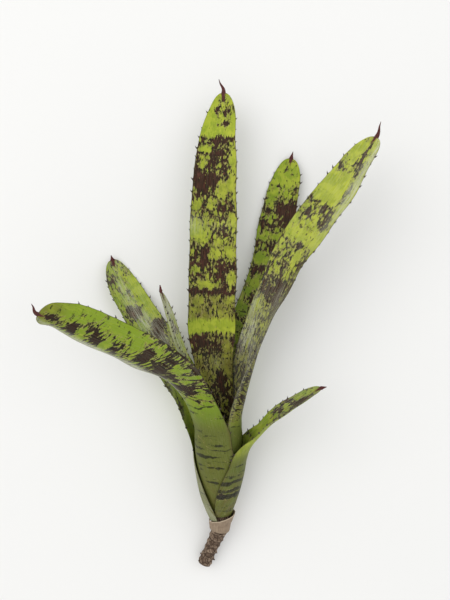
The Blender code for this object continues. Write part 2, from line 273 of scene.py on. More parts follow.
@dataclass
class Leaf:
    """One leaf. Angles in degrees, counted round the tube from the right towards the front."""

    name: str
    order: int          # place in the nest of bases, 0 outermost
    azimuth: tuple      # where its midrib lies on the tube, at the seat and where it parts
    wrap: tuple         # half of the angle its base wraps: at the seat, halfway, where it parts
    parting: float      # level on the tube where it parts from it
    opening: float      # length over which the base opens into the blade
    half_width: float   # of the open blade
    channel: float      # radius across the open blade
    roll: float         # twist of the blade about its midrib
    roll_length: float  # length over which the twist comes in
    taper: float        # length of the tapering end
    tooth_step: float
    midrib: tuple       # points along the open blade's midrib
    spine: tuple        # point of the terminal spine
    tuck: float = 0.0   # how far the front margin of its base leans in over an empty place
    inner: Marks = field(default_factory=Marks)
    outer: Marks = field(default_factory=Marks)


PLAIN_BACK = Marks(
    maroon=((0, 0.0), (40, 0.02), (70, 0.15), (110, 0.36), (200, 0.36)),
    scurf=((0, 0.15), (60, 0.2), (110, 0.35), (250, 0.4)),
    streaks=((0, 0.12), (60, 0.2), (90, 0.45), (250, 0.5)),
    lush=0.45)

BACK_LEFT = Leaf(
    "leaf_back_left", 0, (225, 225), (122, 92, 46), 45.0, 32.0, 12.5, 20.0, -32.0, 64.0, 60.0, 7.0,
    ((-17.8, 63.6, 9.3), (-24.0, 80.5, 9.0), (-35.0, 99.5, 7.8), (-48.5, 118.5, 5.8),
     (-58.0, 134.0, 4.0), (-64.0, 145.0, 3.0), (-68.0, 154.0, 2.4), (-70.0, 160.5, 2.4)),
    (-70.8, 163.5, 3.0), tuck=1.2,
    inner=Marks(
        maroon=((0, 0.0), (70, 0.05), (104, 0.15), (112, 0.3), (130, 0.2), (179, 0.22)),
        blots=((-0.1, 177, 0.8, 4, 0.4), (-0.85, 171, 0.3, 3, 0.35), (-0.45, 165, 0.3, 4, 0.4),
               (0.8, 168, 0.3, 3, 0.4), (-0.3, 159, 0.25, 2.5, 0.3), (-0.2, 142, 0.45, 4.5, 1.0),
               (0.65, 128, 0.35, 4, 0.8), (0.3, 122, 0.5, 5, 0.6), (0.2, 112, 0.6, 5, 0.4),
               (-0.9, 74, 0.4, 14, 0.4), (-0.95, 100, 0.2, 14, 0.3),
               (0.75, 150, 0.3, 16, -0.4), (0.7, 138, 0.3, 4, -0.2)),
        scurf=((0, 0.05), (90, 0.1), (112, 0.3), (130, 0.3), (165, 0.25), (179, 0.5)),
        # The first silver spot is painted light: it lightens the strip by the left margin, which lies in
        # shade under the leaf in front.
        silver_and_sheen=((-0.85, 84, 0.35, 26, 0.5), (-0.05, 152, 0.35, 18, 0.9), (0.1, 132, 0.45, 8, 1.1),
                (0.3, 116, 0.7, 8, 0.8)),
        streaks=((0, 0.05), (50, 0.3), (90, 0.4), (110, 0.1), (179, 0.1)),
        lush=0.5),
    outer=Marks(
        maroon=((0, 0.0), (80, 0.05), (120, 0.3), (179, 0.3)),
        scurf=((0, 0.8), (40, 0.7), (60, 0.4), (179, 0.5)),
        olive=((0, 0.6), (16, 0.35), (36, 0.12), (60, 0.0)),
        streaks=((0, 0.3), (13, 0.35), (14, 0.75), (15, 0.3), (20, 0.35), (21.5, 0.8), (23, 0.2),
                 (40, 0.25), (80, 0.3), (179, 0.4)),
        lush=0.2, sheath=56.0))

LOWER_RIGHT = Leaf(
    "leaf_lower_right", 1, (8, 8), (112, 95, 62), 40.0, 24.0, 7.6, 8.0, 22.0, 48.0, 42.0, 5.5,
    ((19.0, 43.2, 23.5), (26.2, 53.2, 28.0), (34.0, 61.8, 32.0), (41.8, 68.2, 36.0),
     (49.3, 73.8, 39.0), (56.0, 78.6, 42.0), (60.4, 81.6, 44.0)),
    (63.6, 82.8, 45.5),
    inner=Marks(
        maroon=((0, 0.0), (44, 0.1), (50, 0.16), (68, 0.14), (72, 0.4), (96, 0.46), (104, 0.34), (108, 0.2)),
        blots=((-0.55, 62, 0.6, 7, -0.3), (-0.5, 77, 0.35, 3, 0.3), (-0.3, 87, 0.4, 4, 0.25),
               (0.25, 94, 0.5, 7, 0.4), (-0.6, 91, 0.3, 4, -0.3), (-0.6, 99, 0.3, 5, -0.3),
               (-0.2, 82, 0.4, 2.5, -0.3), (-0.9, 52, 0.3, 3, 0.35)),
        scurf=((0, 0.15), (70, 0.2), (80, 0.4), (108, 0.4)),
        silver_and_sheen=((0.9, 85, 0.3, 25, 1.0), (0.7, 76, 0.3, 6, 0.4)),
        deep=((0, 0.0), (68, 0.0), (76, 0.25), (108, 0.2)),
        lush=0.4),
    outer=Marks(
        maroon=((0, 0.0), (14, 0.05), (17, 0.2), (20, 0.0), (56, 0.05), (72, 0.3), (108, 0.34)),
        blots=((0.85, 17.5, 0.14, 2.4, 0.85), (0.55, 17.5, 0.35, 1.2, 0.45), (0.7, 21.8, 0.3, 1.0, 0.4),
               (0.75, 27.0, 0.3, 1.0, 0.4)),
        scurf=((0, 0.12), (40, 0.12), (60, 0.2), (108, 0.4)),
        olive=((0, 0.9), (14, 0.8), (30, 0.6), (44, 0.1)),
        streaks=((0, 0.3), (4, 0.4), (5, 0.8), (6, 0.4), (8.5, 0.4), (9.5, 0.85), (10.5, 0.4), (15, 0.4),
                 (16, 1.1), (18.5, 1.1), (19.5, 0.3), (20.5, 1.0), (22, 1.0), (23, 0.3), (25, 0.4),
                 (26.5, 1.1), (28, 1.0), (29, 0.3), (33, 0.7), (34.5, 0.2), (37, 0.65), (39, 0.1),
                 (50, 0.05), (108, 0.2)),
        deep=((0, 0.45), (34, 0.45), (46, 0.1), (108, 0.2)),
        lush=0.4, sheath=46.0))

FRONT_LEFT = Leaf(
    "leaf_front_left", 2, (122, 148), (108, 90, 82), 60.0, 30.0, 16.6, 18.0, 34.0, 62.0, 40.0, 9.5,
    ((-15.3, 62.0, 33.5), (-19.5, 75.5, 40.0), (-27.0, 87.0, 47.5), (-38.5, 95.5, 55.5),
     (-53.0, 104.0, 63.0), (-72.0, 113.7, 71.5), (-86.0, 121.0, 77.0), (-93.7, 124.6, 80.3),
     (-99.6, 127.0, 82.5)),
    (-102.6, 132.4, 84.5),
    inner=Marks(
        maroon=((0, 0.1), (60, 0.3), (120, 0.42), (190, 0.35)),
        scurf=((0, 0.1), (190, 0.1))),
    outer=Marks(
        maroon=((0, 0.0), (62, 0.02), (74, 0.12), (82, 0.36), (90, 0.5), (112, 0.5), (124, 0.44),
                (136, 0.33), (168, 0.33), (180, 0.28), (190, 0.2)),
        blots=((-0.85, 148, 0.4, 40, -0.28), (-0.05, 107, 0.45, 6, 0.25), (0.0, 88, 0.5, 5, 0.25),
               (-0.3, 120, 0.4, 4, 0.3), (-0.55, 129, 0.25, 4, -0.35), (-0.45, 100, 0.2, 3.5, -0.35),
               (-0.55, 114, 0.2, 3.5, -0.3), (-0.35, 91, 0.25, 3.5, -0.35), (-0.98, 100, 0.12, 22, 0.2),
               (0.1, 137, 0.5, 2.5, 0.35), (0.05, 151, 0.45, 3.5, 0.5), (0.1, 165, 0.45, 3, 0.5),
               (-0.4, 158, 0.2, 3, 0.4),
               (-0.1, 178, 0.3, 3.5, 0.6), (0.25, 144, 0.5, 3, -0.35), (0.25, 159, 0.5, 2.5, -0.3),
               (0.5, 186, 0.5, 5, -0.6), (-0.7, 178, 0.3, 10, -0.4)),
        olive=((0, 0.75), (10, 0.65), (26, 0.3), (40, 0.1), (60, 0.0), (170, 0.0), (180, 0.5), (187, 0.5)),
        scurf=((0, 0.08), (80, 0.06), (96, 0.16), (125, 0.1), (190, 0.05)),
        # These silver spots are painted highlight: the pale sheen along the lower fold of the blade and
        # sheath.
        silver_and_sheen=((0.66, 98, 0.26, 26, 3.2), (0.62, 146, 0.22, 42, 2.8), (1.0, 120, 0.3, 60, 1.5),
                (0.5, 80, 0.2, 8, 0.8)),
        streaks=((0, 0.3), (20, 0.5), (33, 0.5), (34, 0.95), (35, 0.4), (40, 0.5), (41, 1.0), (42, 0.4),
                 (44.5, 0.4), (45.5, 0.95), (46.5, 0.3), (49, 0.8), (50, 0.3), (54, 0.6), (60, 0.3),
                 (66, 0.55), (78, 0.5), (90, 0.5), (190, 0.5)),
        deep=((0, 0.0), (60, 0.0), (68, 0.3), (92, 0.25), (104, 0.0)),
        lush=0.75, sheath=66.0))

BACK_RIGHT = Leaf(
    "leaf_back_right", 3, (300, 302), (105, 60, 30), 64.0, 40.0, 12.0, 30.0, 22.0, 80.0, 55.0, 8.0,
    ((7.8, 80.5, 12.0), (10.8, 97.0, 11.5), (15.6, 112.0, 10.5), (23.0, 131.3, 9.0),
     (28.8, 146.1, 7.5), (33.4, 163.5, 5.5), (35.8, 179.2, 3.9), (38.8, 192.3, 2.5),
     (41.2, 204.7, 1.8), (44.0, 216.4, 2.0), (46.0, 226.0, 3.0)),
    (47.2, 230.4, 3.6),
    inner=Marks(
        maroon=((0, 0.3), (100, 0.3), (112, 0.2), (115, 0.6), (118, 0.2), (126, 0.3), (134, 0.2), (143, 0.25),
                (150, 0.34), (156, 0.2), (160, 0.42), (169, 0.48), (170.5, 0.12), (176, 0.14), (178, 0.44),
                (197, 0.42), (200, 0.2), (218, 0.14), (225, 0.25)),
        blots=((0.4, 188, 0.7, 10, 0.4), (-0.6, 196, 0.3, 4, -0.3), (-0.75, 180, 0.3, 4, 0.25),
               (0.0, 165, 0.5, 3, 0.25), (0.5, 162, 0.2, 2.5, -0.4), (0.8, 204, 0.25, 6, 0.35),
               (-0.2, 218, 0.15, 2, 0.5), (0.3, 215, 0.12, 1.5, 0.4), (-0.4, 206, 0.12, 1.5, 0.4),
               (-0.5, 150, 0.35, 3, 0.35), (0.1, 130, 0.6, 4, 0.5), (-0.6, 158, 0.4, 4, -0.3)),
        scurf=((0, 0.03), (225, 0.05)),
        streaks=((0, 0.2), (110, 0.6), (130, 0.4), (150, 0.1), (225, 0.06)),
        deep=((0, 0.7), (110, 0.6), (150, 0.35), (170, 0.15), (190, 0.1), (225, 0.0)),
        lush=0.45),
    outer=PLAIN_BACK)

RIGHT = Leaf(
    "leaf_right", 4, (335, 348), (105, 95, 80), 68.0, 80.0, 14.8, 24.0, 40.0, 150.0, 86.0, 9.0,
    ((15.6, 76.0, 24.0), (19.8, 94.0, 26.5), (23.8, 109.7, 28.8), (29.0, 125.3, 31.0),
     (35.6, 140.6, 33.2), (43.2, 157.6, 35.5), (52.6, 173.1, 38.2), (62.8, 187.3, 41.0),
     (74.7, 203.7, 44.0), (84.6, 219.0, 45.0), (92.8, 231.3, 46.0)),
    (95.4, 240.0, 48.0),
    inner=Marks(
        maroon=((0, 0.3), (70, 0.44), (92, 0.44), (98, 0.42), (112, 0.38), (119, 0.42), (124, 0.54),
                (140, 0.5), (158, 0.42), (165, 0.36), (168, 0.14), (178, 0.14), (184, 0.36), (194, 0.36),
                (197, 0.12), (214, 0.14), (220, 0.25), (232, 0.25), (243, 0.2)),
        blots=((0.0, 165, 0.25, 3, 0.35), (-0.5, 184, 0.2, 3, 0.45), (0.5, 182, 0.3, 4, 0.4),
               (-0.1, 192, 0.3, 3, 0.25), (0.3, 188, 0.4, 4, 0.2), (0.45, 205, 0.25, 9, 0.35),
               (-0.6, 218, 0.25, 3, 0.4), (0.1, 233, 0.16, 9, 0.5), (0.3, 221, 0.16, 7, 0.4),
               (-0.1, 224, 0.2, 3, 0.3), (-0.4, 205, 0.6, 9, -0.3), (0.2, 157, 0.35, 6, -0.4),
               (0.7, 155, 0.25, 5, 0.3), (0.2, 133, 0.6, 9, 0.25),
               (-0.8, 122, 0.3, 8, -0.35), (0.25, 145, 0.15, 3, -0.35), (-0.5, 146, 0.2, 3, -0.3),
               (0.9, 200, 0.2, 30, -0.2), (-0.6, 232, 0.4, 8, -0.3)),
        olive=((0, 0.6), (70, 0.8), (95, 0.7), (108, 0.4), (122, 0.5), (142, 0.3), (150, 0.1), (243, 0.1)),
        scurf=((0, 0.2), (80, 0.4), (98, 0.5), (118, 0.45), (126, 0.3), (150, 0.2), (243, 0.25)),
        silver_and_sheen=((-0.7, 103, 0.6, 12, 0.8), (0.78, 218, 0.36, 36, 1.7), (0.3, 128, 0.3, 10, 0.5),
                (0.85, 96, 0.3, 32, 2.0), (-0.2, 84, 0.25, 12, 0.7), (-0.8, 120, 0.3, 8, 0.5)),
        streaks=((0, 0.1), (243, 0.08)),
        lush=0.02),
    outer=Marks(
        maroon=((0, 0.0), (48, 0.02), (56, 0.3), (66, 0.46), (100, 0.5), (140, 0.42), (243, 0.35)),
        blots=((0.3, 76, 0.2, 6, -0.3), (0.0, 100, 0.3, 40, 0.15)),
        olive=((0, 0.1), (50, 0.15), (58, 0.6), (100, 0.7), (140, 0.4)),
        scurf=((0, 0.06), (60, 0.06), (243, 0.3)),
        silver_and_sheen=((0.95, 95, 0.12, 40, 0.6),),
        streaks=((0, 0.05), (47.5, 0.05), (49, 0.95), (50.5, 0.05), (243, 0.3)),
        deep=((0, 0.15), (52, 0.3), (60, 0.75), (110, 0.7), (243, 0.2)),
        lush=0.5, sheath=54.0))

TALL_CENTRE = Leaf(
    "leaf_tall_centre", 5, (268, 262), (105, 86, 54), 72.0, 52.0, 15.4, 30.0, -16.0, 40.0, 115.0, 9.5,
    ((-3.2, 84.0, 15.3), (-4.6, 97.0, 16.8), (-5.4, 122.6, 19.0), (-4.4, 150.0, 21.0),
     (-3.9, 174.4, 22.0), (-3.0, 203.7, 22.5), (-1.1, 234.4, 21.5), (1.3, 252.1, 20.5),
     (2.3, 264.1, 20.0)),
    (-0.7, 273.0, 19.0),
    inner=Marks(
        maroon=((0, 0.5), (60, 0.5), (70, 0.36), (80, 0.34), (88, 0.5), (97.5, 0.58), (98.5, 0.03),
                (106, 0.03), (108, 0.3), (121, 0.32), (122.5, 0.7), (125, 0.66), (127, 0.47), (140, 0.54),
                (152, 0.46), (157, 0.3), (168, 0.36), (172, 0.5), (190, 0.58), (212, 0.54), (216, 0.44),
                (217.5, 0.7), (220, 0.62), (221.5, 0.03), (230, 0.05), (236, 0.25), (249, 0.2)),
        blots=((0.35, 229, 0.28, 2.4, 0.75), (-0.35, 238, 0.22, 3, 0.6), (0.3, 236, 0.3, 3, 0.5),
               (0.0, 245, 0.3, 4, 0.45), (0.92, 188, 0.14, 28, -0.3),
               (-0.15, 228, 0.12, 1.5, 0.5), (-0.8, 234, 0.35, 14, -0.4), (-0.6, 212, 0.35, 2, -0.6),
               (-0.65, 203, 0.2, 4.5, -0.6), (0.35, 187, 0.25, 7, -0.6), (0.7, 191, 0.2, 5, -0.45),
               (-0.75, 177, 0.2, 3.5, -0.6), (-0.15, 178, 0.25, 3, -0.5), (0.1, 211, 0.4, 4, 0.25),
               (-0.45, 190, 0.45, 9, 0.25), (0.4, 176, 0.25, 3.5, 0.3), (0.8, 205, 0.2, 8, -0.3),
               (0.4, 161, 0.35, 6, 0.35), (0.25, 163, 0.15, 2.5, -0.3), (-0.7, 163, 0.35, 7, -0.35),
               (0.3, 155, 0.25, 3, -0.35), (-0.5, 144, 0.3, 6, 0.3), (0.4, 139, 0.4, 3, 0.3),
               (0.4, 132, 0.25, 5, 0.2), (-0.7, 138, 0.22, 2.5, -0.6), (-0.25, 128, 0.4, 2.5, -0.6),
               (0.15, 147, 0.25, 3.5, -0.55), (0.75, 132, 0.2, 5, -0.4), (0.7, 149, 0.25, 5, -0.35),
               (-0.5, 92, 0.45, 6, 0.2), (0.6, 92, 0.35, 6, -0.25), (0.3, 66, 0.3, 6, 0.4),
               (-0.5, 70, 0.4, 5, -0.2), (0.75, 77, 0.2, 4, -0.4), (-0.7, 123, 0.3, 4, 0.1)),
        olive=((0, 0.9), (84, 0.85), (96, 0.6), (98.5, 0.0), (106, 0.0), (108, 0.75), (121, 0.7),
               (127, 0.35), (140, 0.3), (152, 0.3), (158, 0.15), (170, 0.3), (190, 0.3), (221.5, 0.0),
               (249, 0.1)),
        scurf=((0, 0.12), (90, 0.05), (158, 0.05), (166, 0.16), (172, 0.05), (249, 0.05)),
        silver_and_sheen=((-0.85, 165, 0.3, 6, 0.6), (0.1, 79, 0.4, 5, 0.3)),
        streaks=((0, 0.2), (98.5, 0.1), (108, 0.3), (123, 0.4), (127, 0.1), (249, 0.05)),
        lush=0.25),
    outer=PLAIN_BACK)

HEART = Leaf(
    "leaf_heart", 6, (190, 166), (105, 88, 48), 74.0, 26.0, 7.0, 7.0, -12.0, 50.0, 48.0, 5.0,
    ((-14.2, 80.0, 31.6), (-19.3, 90.5, 33.0), (-24.8, 102.5, 32.5), (-29.0, 114.3, 33.5),
     (-33.0, 128.4, 34.5), (-35.6, 139.4, 35.5)),
    (-36.1, 143.6, 36.3),
    inner=Marks(
        maroon=((0, 0.4), (80, 0.4), (88, 0.2), (96, 0.25), (102, 0.25), (108, 0.15), (114, 0.05),
                (126, 0.3)),
        blots=((0.35, 103, 0.4, 4.5, 0.9), (0.5, 93, 0.5, 4, -0.3), (0.1, 110, 0.3, 3, 0.7),
               (-0.8, 98, 0.4, 24, -0.5)),
        scurf=((0, 0.2), (80, 0.5), (110, 0.9), (126, 0.4)),
        silver_and_sheen=((-0.5, 100, 0.8, 34, 4.0), (0.5, 114, 0.6, 6, 1.6), (0.0, 121, 1.0, 5, 1.2)),
        olive=((0, 0.5), (80, 0.2), (106, 0.2), (118, 0.5), (126, 0.9)),
        streaks=((0, 0.2), (126, 0.2)),
        lush=0.6),
    outer=Marks(
        maroon=((0, 0.0), (60, 0.1), (84, 0.2), (96, 0.05), (126, 0.1)),
        scurf=((0, 0.4), (80, 1.6), (96, 2.0), (116, 1.7), (126, 0.8)),
        olive=((0, 0.3), (106, 0.2), (126, 0.8)),
        streaks=((0, 0.1), (126, 0.2)),
        lush=0.2))

LEAVES = (BACK_LEFT, LOWER_RIGHT, FRONT_LEFT, BACK_RIGHT, RIGHT, TALL_CENTRE, HEART)


def smooth(x):
    """Ease from 0 to 1."""
    x = min(max(x, 0.0), 1.0)
    return x * x * (3.0 - 2.0 * x)


def mix(a, b, t):
    return a + (b - a) * t


def fractal(x, y, z, layers):
    """Layered noise about 0."""
    return field_noise.fractal(Vector((x, y, z)), 1.0, 2.0, layers)


def tube_centre(level):
    return TUBE_FOOT + TUBE_AXIS * level


def outward(angle):
    """The direction away from the tube's axis at an angle in radians."""
    return TUBE_RIGHT * math.cos(angle) + TUBE_FRONT * math.sin(angle)


def nest_radius(order, level):
    """The radius of a leaf base's middle surface at a level on the tube."""
    x = min(level / FLARE_LENGTH, 1.0)
    outside = mix(FOOT_RADIUS, MOUTH_RADIUS, 1.0 - (1.0 - x) ** 2)
    return outside - LEAF_THICKNESS / 2 - order * NEST_PITCH


def seat_level(order):
    """The level at which a leaf base meets the stem core."""
    rise = SEAT_RADIUS - nest_radius(order, 0.0)
    return FLARE_LENGTH * (1.0 - math.sqrt(1.0 - max(rise, 0.0) / (MOUTH_RADIUS - FOOT_RADIUS)))


def along(points, part_steps):
    """A smooth line through points, each part of it in this many steps."""
    line = []
    last = len(points) - 1
    for i in range(last):
        before, here, there, after = (points[max(min(i + k, last), 0)] for k in (-1, 0, 1, 2))
        span = (there - here).length
        leave = (there - before) * span / (span + (here - before).length)
        arrive = (after - here) * span / (span + (after - there).length)
        for k in range(part_steps):
            t = k / part_steps
            line.append(here * (2 * t ** 3 - 3 * t ** 2 + 1) + leave * (t ** 3 - 2 * t ** 2 + t)
                        + there * (3 * t ** 2 - 2 * t ** 3) + arrive * (t ** 3 - t ** 2))
    line.append(points[-1])
    return line


class Path:
    """A line that is read by the distance along it."""

    STEP = 1.5

    def __init__(self, points, part_steps=8):
        self.line = along([Vector(p) for p in points], part_steps)
        self.marks = [0.0]
        for a, b in zip(self.line, self.line[1:]):
            self.marks.append(self.marks[-1] + (b - a).length)
        self.length = self.marks[-1]

    def point(self, distance):
        distance = min(max(distance, 0.0), self.length)
        i = 0
        while i < len(self.marks) - 2 and self.marks[i + 1] < distance:
            i += 1
        t = (distance - self.marks[i]) / (self.marks[i + 1] - self.marks[i])
        return self.line[i].lerp(self.line[i + 1], t)

    def direction(self, distance):
        return (self.point(distance + self.STEP) - self.point(distance - self.STEP)).normalized()


class LeafForm:
    """The middle surface of a leaf, from its seat on the stem to the end of its spine."""

    def __init__(self, leaf):
        self.leaf = leaf
        self.seat = seat_level(leaf.order)
        rise = (leaf.parting - self.seat) / BASE_POINTS
        base = [self.base_point(self.seat + rise * k) for k in range(BASE_POINTS + 1)]
        self.base_length = Path(base).length
        self.path = Path(base + [Vector(p) for p in leaf.midrib])
        self.blade_end = self.path.length
        self.spine = Vector(leaf.spine)
        self.spine_length = (self.spine - self.path.point(self.blade_end)).length
        self.length = self.blade_end + self.spine_length

    def base_point(self, level):
        """The midrib on the tube, which may drift round it."""
        share = (level - self.seat) / (self.leaf.parting - self.seat)
        angle = math.radians(mix(*self.leaf.azimuth, smooth(share)))
        return tube_centre(level) + outward(angle) * nest_radius(self.leaf.order, level)

    def wrapped(self, distance):
        """The share of the base's length that lies behind here, and its radius on the tube."""
        share = min(distance / self.base_length, 1.0)
        return share, nest_radius(self.leaf.order, mix(self.seat, self.leaf.parting, share))

    def opened(self, distance):
        """How far the base has opened into the blade, 0 to 1."""
        return smooth((distance - self.base_length) / self.leaf.opening)

    def radius(self, distance):
        """The radius of the section across the leaf."""
        _, wrapped = self.wrapped(distance)
        return 1.0 / mix(1.0 / wrapped, 1.0 / self.leaf.channel, self.opened(distance))

    def half_width(self, distance):
        seat, middle, end = (math.radians(a) for a in self.leaf.wrap)
        share, radius = self.wrapped(distance)
        wrap = mix(mix(seat, middle, share), mix(middle, end, share), share)
        width = mix(wrap * radius, self.leaf.half_width, self.opened(distance))
        left = max(min((self.blade_end - distance) / self.leaf.taper, 1.0), 0.0)
        blade = width * max(1.0 - (1.0 - left) ** TIP_POWER, 0.0) ** TIP_BLUNTNESS
        return max(blade, self.spine_width(distance))

    def spine_width(self, distance):
        """Half the width of the terminal spine, which starts inside the blade's end."""
        past = (distance - self.blade_end) / self.spine_length
        return mix(SPINE_BASE, SPINE_END, min(max(past, 0.0), 1.0) ** SPINE_TAPER)

    def centre(self, distance):
        """The midrib, which leans over into the terminal spine past the blade's end."""
        if distance <= self.blade_end:
            return self.path.point(distance)
        share = (distance - self.blade_end) / self.spine_length
        start = self.path.point(self.blade_end)
        leave = start + self.path.direction(self.blade_end) * self.spine_length * share
        return leave.lerp(start.lerp(self.spine, share), smooth(share * SPINE_LEAN))

    def direction(self, distance):
        if distance <= self.blade_end - Path.STEP:
            return self.path.direction(distance)
        return (self.centre(distance + BEND_STEP) - self.centre(distance - BEND_STEP)).normalized()

    def ahead(self, distance):
        """The line that a section across the leaf is square to: the tube's axis, then the midrib."""
        return TUBE_AXIS.lerp(self.direction(distance), self.opened(distance)).normalized()

    def facing(self, distance, ahead):
        """The direction that the inner face looks at the midrib."""
        here = self.centre(distance)
        level = (here - TUBE_FOOT).dot(TUBE_AXIS)
        inward = (tube_centre(level) - here).normalized()
        inward = (inward - ahead * inward.dot(ahead)).normalized()
        rolled = smooth((distance - self.base_length) / self.leaf.roll_length)
        return Quaternion(ahead, math.radians(self.leaf.roll) * rolled) @ inward

    def shift(self, distance, shares):
        """How far the surface lies in from its arc: its ripple, and the tuck of its front margin."""
        wave = math.sin(2 * math.pi * distance / RIPPLE_LENGTH + self.leaf.order)
        ripple = RIPPLE_HEIGHT * wave * self.opened(distance)
        rise = smooth((distance - TUCK_START) / TUCK_LENGTH) * (1.0 - self.opened(distance))
        front = np.clip(-shares, 0.0, 1.0)
        return ripple * shares ** 2 + self.leaf.tuck * rise * front ** 2 * (3.0 - 2.0 * front)

    def section(self, distance, shares, scallops):
        """Points, inward normals and tangents across the leaf at shares of its half width."""
        ahead = self.ahead(distance)
        facing = np.array(self.facing(distance, ahead))
        side = np.cross(np.array(ahead), facing)
        radius = self.radius(distance)
        angle = (shares * self.half_width(distance) / radius)[:, None]
        normal = facing * np.cos(angle) - side * np.sin(angle)
        tangent = facing * np.sin(angle) + side * np.cos(angle)
        centre = np.array(self.centre(distance)) + facing * radius
        points = centre + normal * (self.shift(distance, shares)[:, None] - radius)
        edge = np.clip((np.abs(shares) - SCALLOP_SHARE) / (1 - SCALLOP_SHARE), 0, 1) ** 2
        push = np.where(shares > 0, scallops[1], scallops[0]) * edge
        return points + tangent * (np.sign(shares) * push)[:, None], normal, tangent

    def thickness(self, distance, shares):
        """The leaf's thickness across it, rounded off at its rims and round in its spine."""
        half = self.half_width(distance)
        curl = np.clip((np.abs(shares) - RIM_CURL) / (1 - RIM_CURL), 0, 1)
        thick = mix(LEAF_THICKNESS, RIM_THICKNESS, shares ** 2) * np.sqrt(1 - curl ** 2)
        if distance > self.blade_end - SPINE_LEAD and half < SPINE_BASE:
            thick = thick * min(1.0, half / NARROW) + SPINE_DEPTH * half * np.sqrt(1 - shares ** 2)
        return thick

    def distances(self):
        """Where the rows of the fine surface lie."""
        start = self.blade_end - TIP_ZONE
        count = round(start / ROW_STEP)
        rows = [start * k / count for k in range(count)]
        rows += [self.blade_end - TIP_ZONE * (1 - k / TIP_ROWS) ** 2 for k in range(TIP_ROWS)]
        rows += [self.blade_end + self.spine_length * k / SPINE_ROWS for k in range(SPINE_ROWS + 1)]
        return np.array(rows)


def tooth_sites(form, rng):
    """Distances of the teeth on the left and the right margin, with a size for each."""
    sites = []
    for _ in range(2):
        place = form.base_length * TOOTH_START + rng.uniform(0, form.leaf.tooth_step)
        margin = []
        while place < form.blade_end - TOOTHLESS_END:
            margin.append((place, rng.uniform(*TOOTH_SIZES)))
            place += form.leaf.tooth_step * rng.uniform(*TOOTH_STEPS)
        sites.append(margin)
    return sites


def margin_scallops(sites, distances):
    """How far each margin stands out at every row: it rises a little to each tooth."""
    rows = np.zeros((len(distances), 2))
    for side, margin in enumerate(sites):
        for place, size in margin:
            rise = np.clip(1 - np.abs(distances - place) / SCALLOP_REACH, 0, 1) ** 2
            rows[:, side] = np.maximum(rows[:, side], rise * SCALLOP_HEIGHT * size)
    return rows


def line_value(points, distances):
    return np.interp(distances, *zip(*points))


def spot_value(spots, shares, distances):
    """The sum of soft oval spots over a grid of rows and columns."""
    total = np.zeros((len(distances), len(shares)))
    for share, distance, half_share, half_distance, amount in spots:
        across = ((shares[None, :] - share) / half_share) ** 2
        lengthwise = ((distances[:, None] - distance) / half_distance) ** 2
        total += amount * np.exp(-(across + lengthwise) * SPOT_SHARPNESS)
    return total


def face_marks(marks, shares, distances):
    """The soft marks over one face of a leaf, as grids of rows and columns."""
    full = np.ones(len(shares))
    # The film line plus the silver spots, some of which are painted highlight
    film_and_sheen = np.outer(line_value(marks.scurf, distances), full)
    return {"blots": spot_value(marks.blots, shares, distances),
            "scurf": film_and_sheen + spot_value(marks.silver_and_sheen, shares, distances),
            "deep": np.outer(line_value(marks.deep, distances), full)}


def band_stops(marks, length):
    """Ramp stops along a leaf: maroon, olive and streaks as the three channels."""
    lines = (marks.maroon, marks.olive, marks.streaks)
    places = sorted({distance for line in lines for distance, _ in line})
    amounts = zip(*(line_value(line, places) for line in lines))
    return [(place / length, tuple(map(float, amount))) for place, amount in zip(places, amounts)]


def tube_faces(rings, count):
    """Faces of a tube from rings of points, closed at both ends."""
    faces = []
    for i in range(rings - 1):
        for j in range(count):
            k = (j + 1) % count
            faces.append((i * count + j, i * count + k, (i + 1) * count + k, (i + 1) * count + j))
    faces.append(tuple(range(count)))
    faces.append(tuple(range((rings - 1) * count, rings * count))[::-1])
    return faces


def new_mesh(name, points, faces, values):
    """A mesh from points in millimetres, with values on them that materials and node trees read."""
    mesh = bpy.data.meshes.new(name)
    mesh.from_pydata(((points + np.array(PLANT_SHIFT)) * METRE).tolist(), [], faces)
    for key, value in values.items():
        value = np.asarray(value, dtype=np.float32)
        kind, part = ("FLOAT_VECTOR", "vector") if value.ndim == 2 else ("FLOAT", "value")
        mesh.attributes.new(key, kind, "POINT").data.foreach_set(part, value.ravel())
    return mesh


def add_object(name, data):
    obj = bpy.data.objects.new(name, data)
    bpy.context.scene.collection.objects.link(obj)
    return obj


def add_piece(obj, slot):
    """Make an object a piece of the plant's one body; its slot is not used."""
    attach(obj, "root")


def replace_node(node, points, faces, values, material):
    """A finished mesh in place of a node of the frame, from points in millimetres."""
    name = node + "_fine"
    mesh = new_mesh(name, points, faces, values)
    bm = bmesh.new()
    bm.from_mesh(mesh)
    bmesh.ops.recalc_face_normals(bm, faces=bm.faces)
    bm.to_mesh(mesh)
    bm.free()
    mesh.shade_smooth()
    mesh.materials.append(material)
    obj = add_object(name, mesh)
    add_piece(obj, node)
    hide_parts(node)


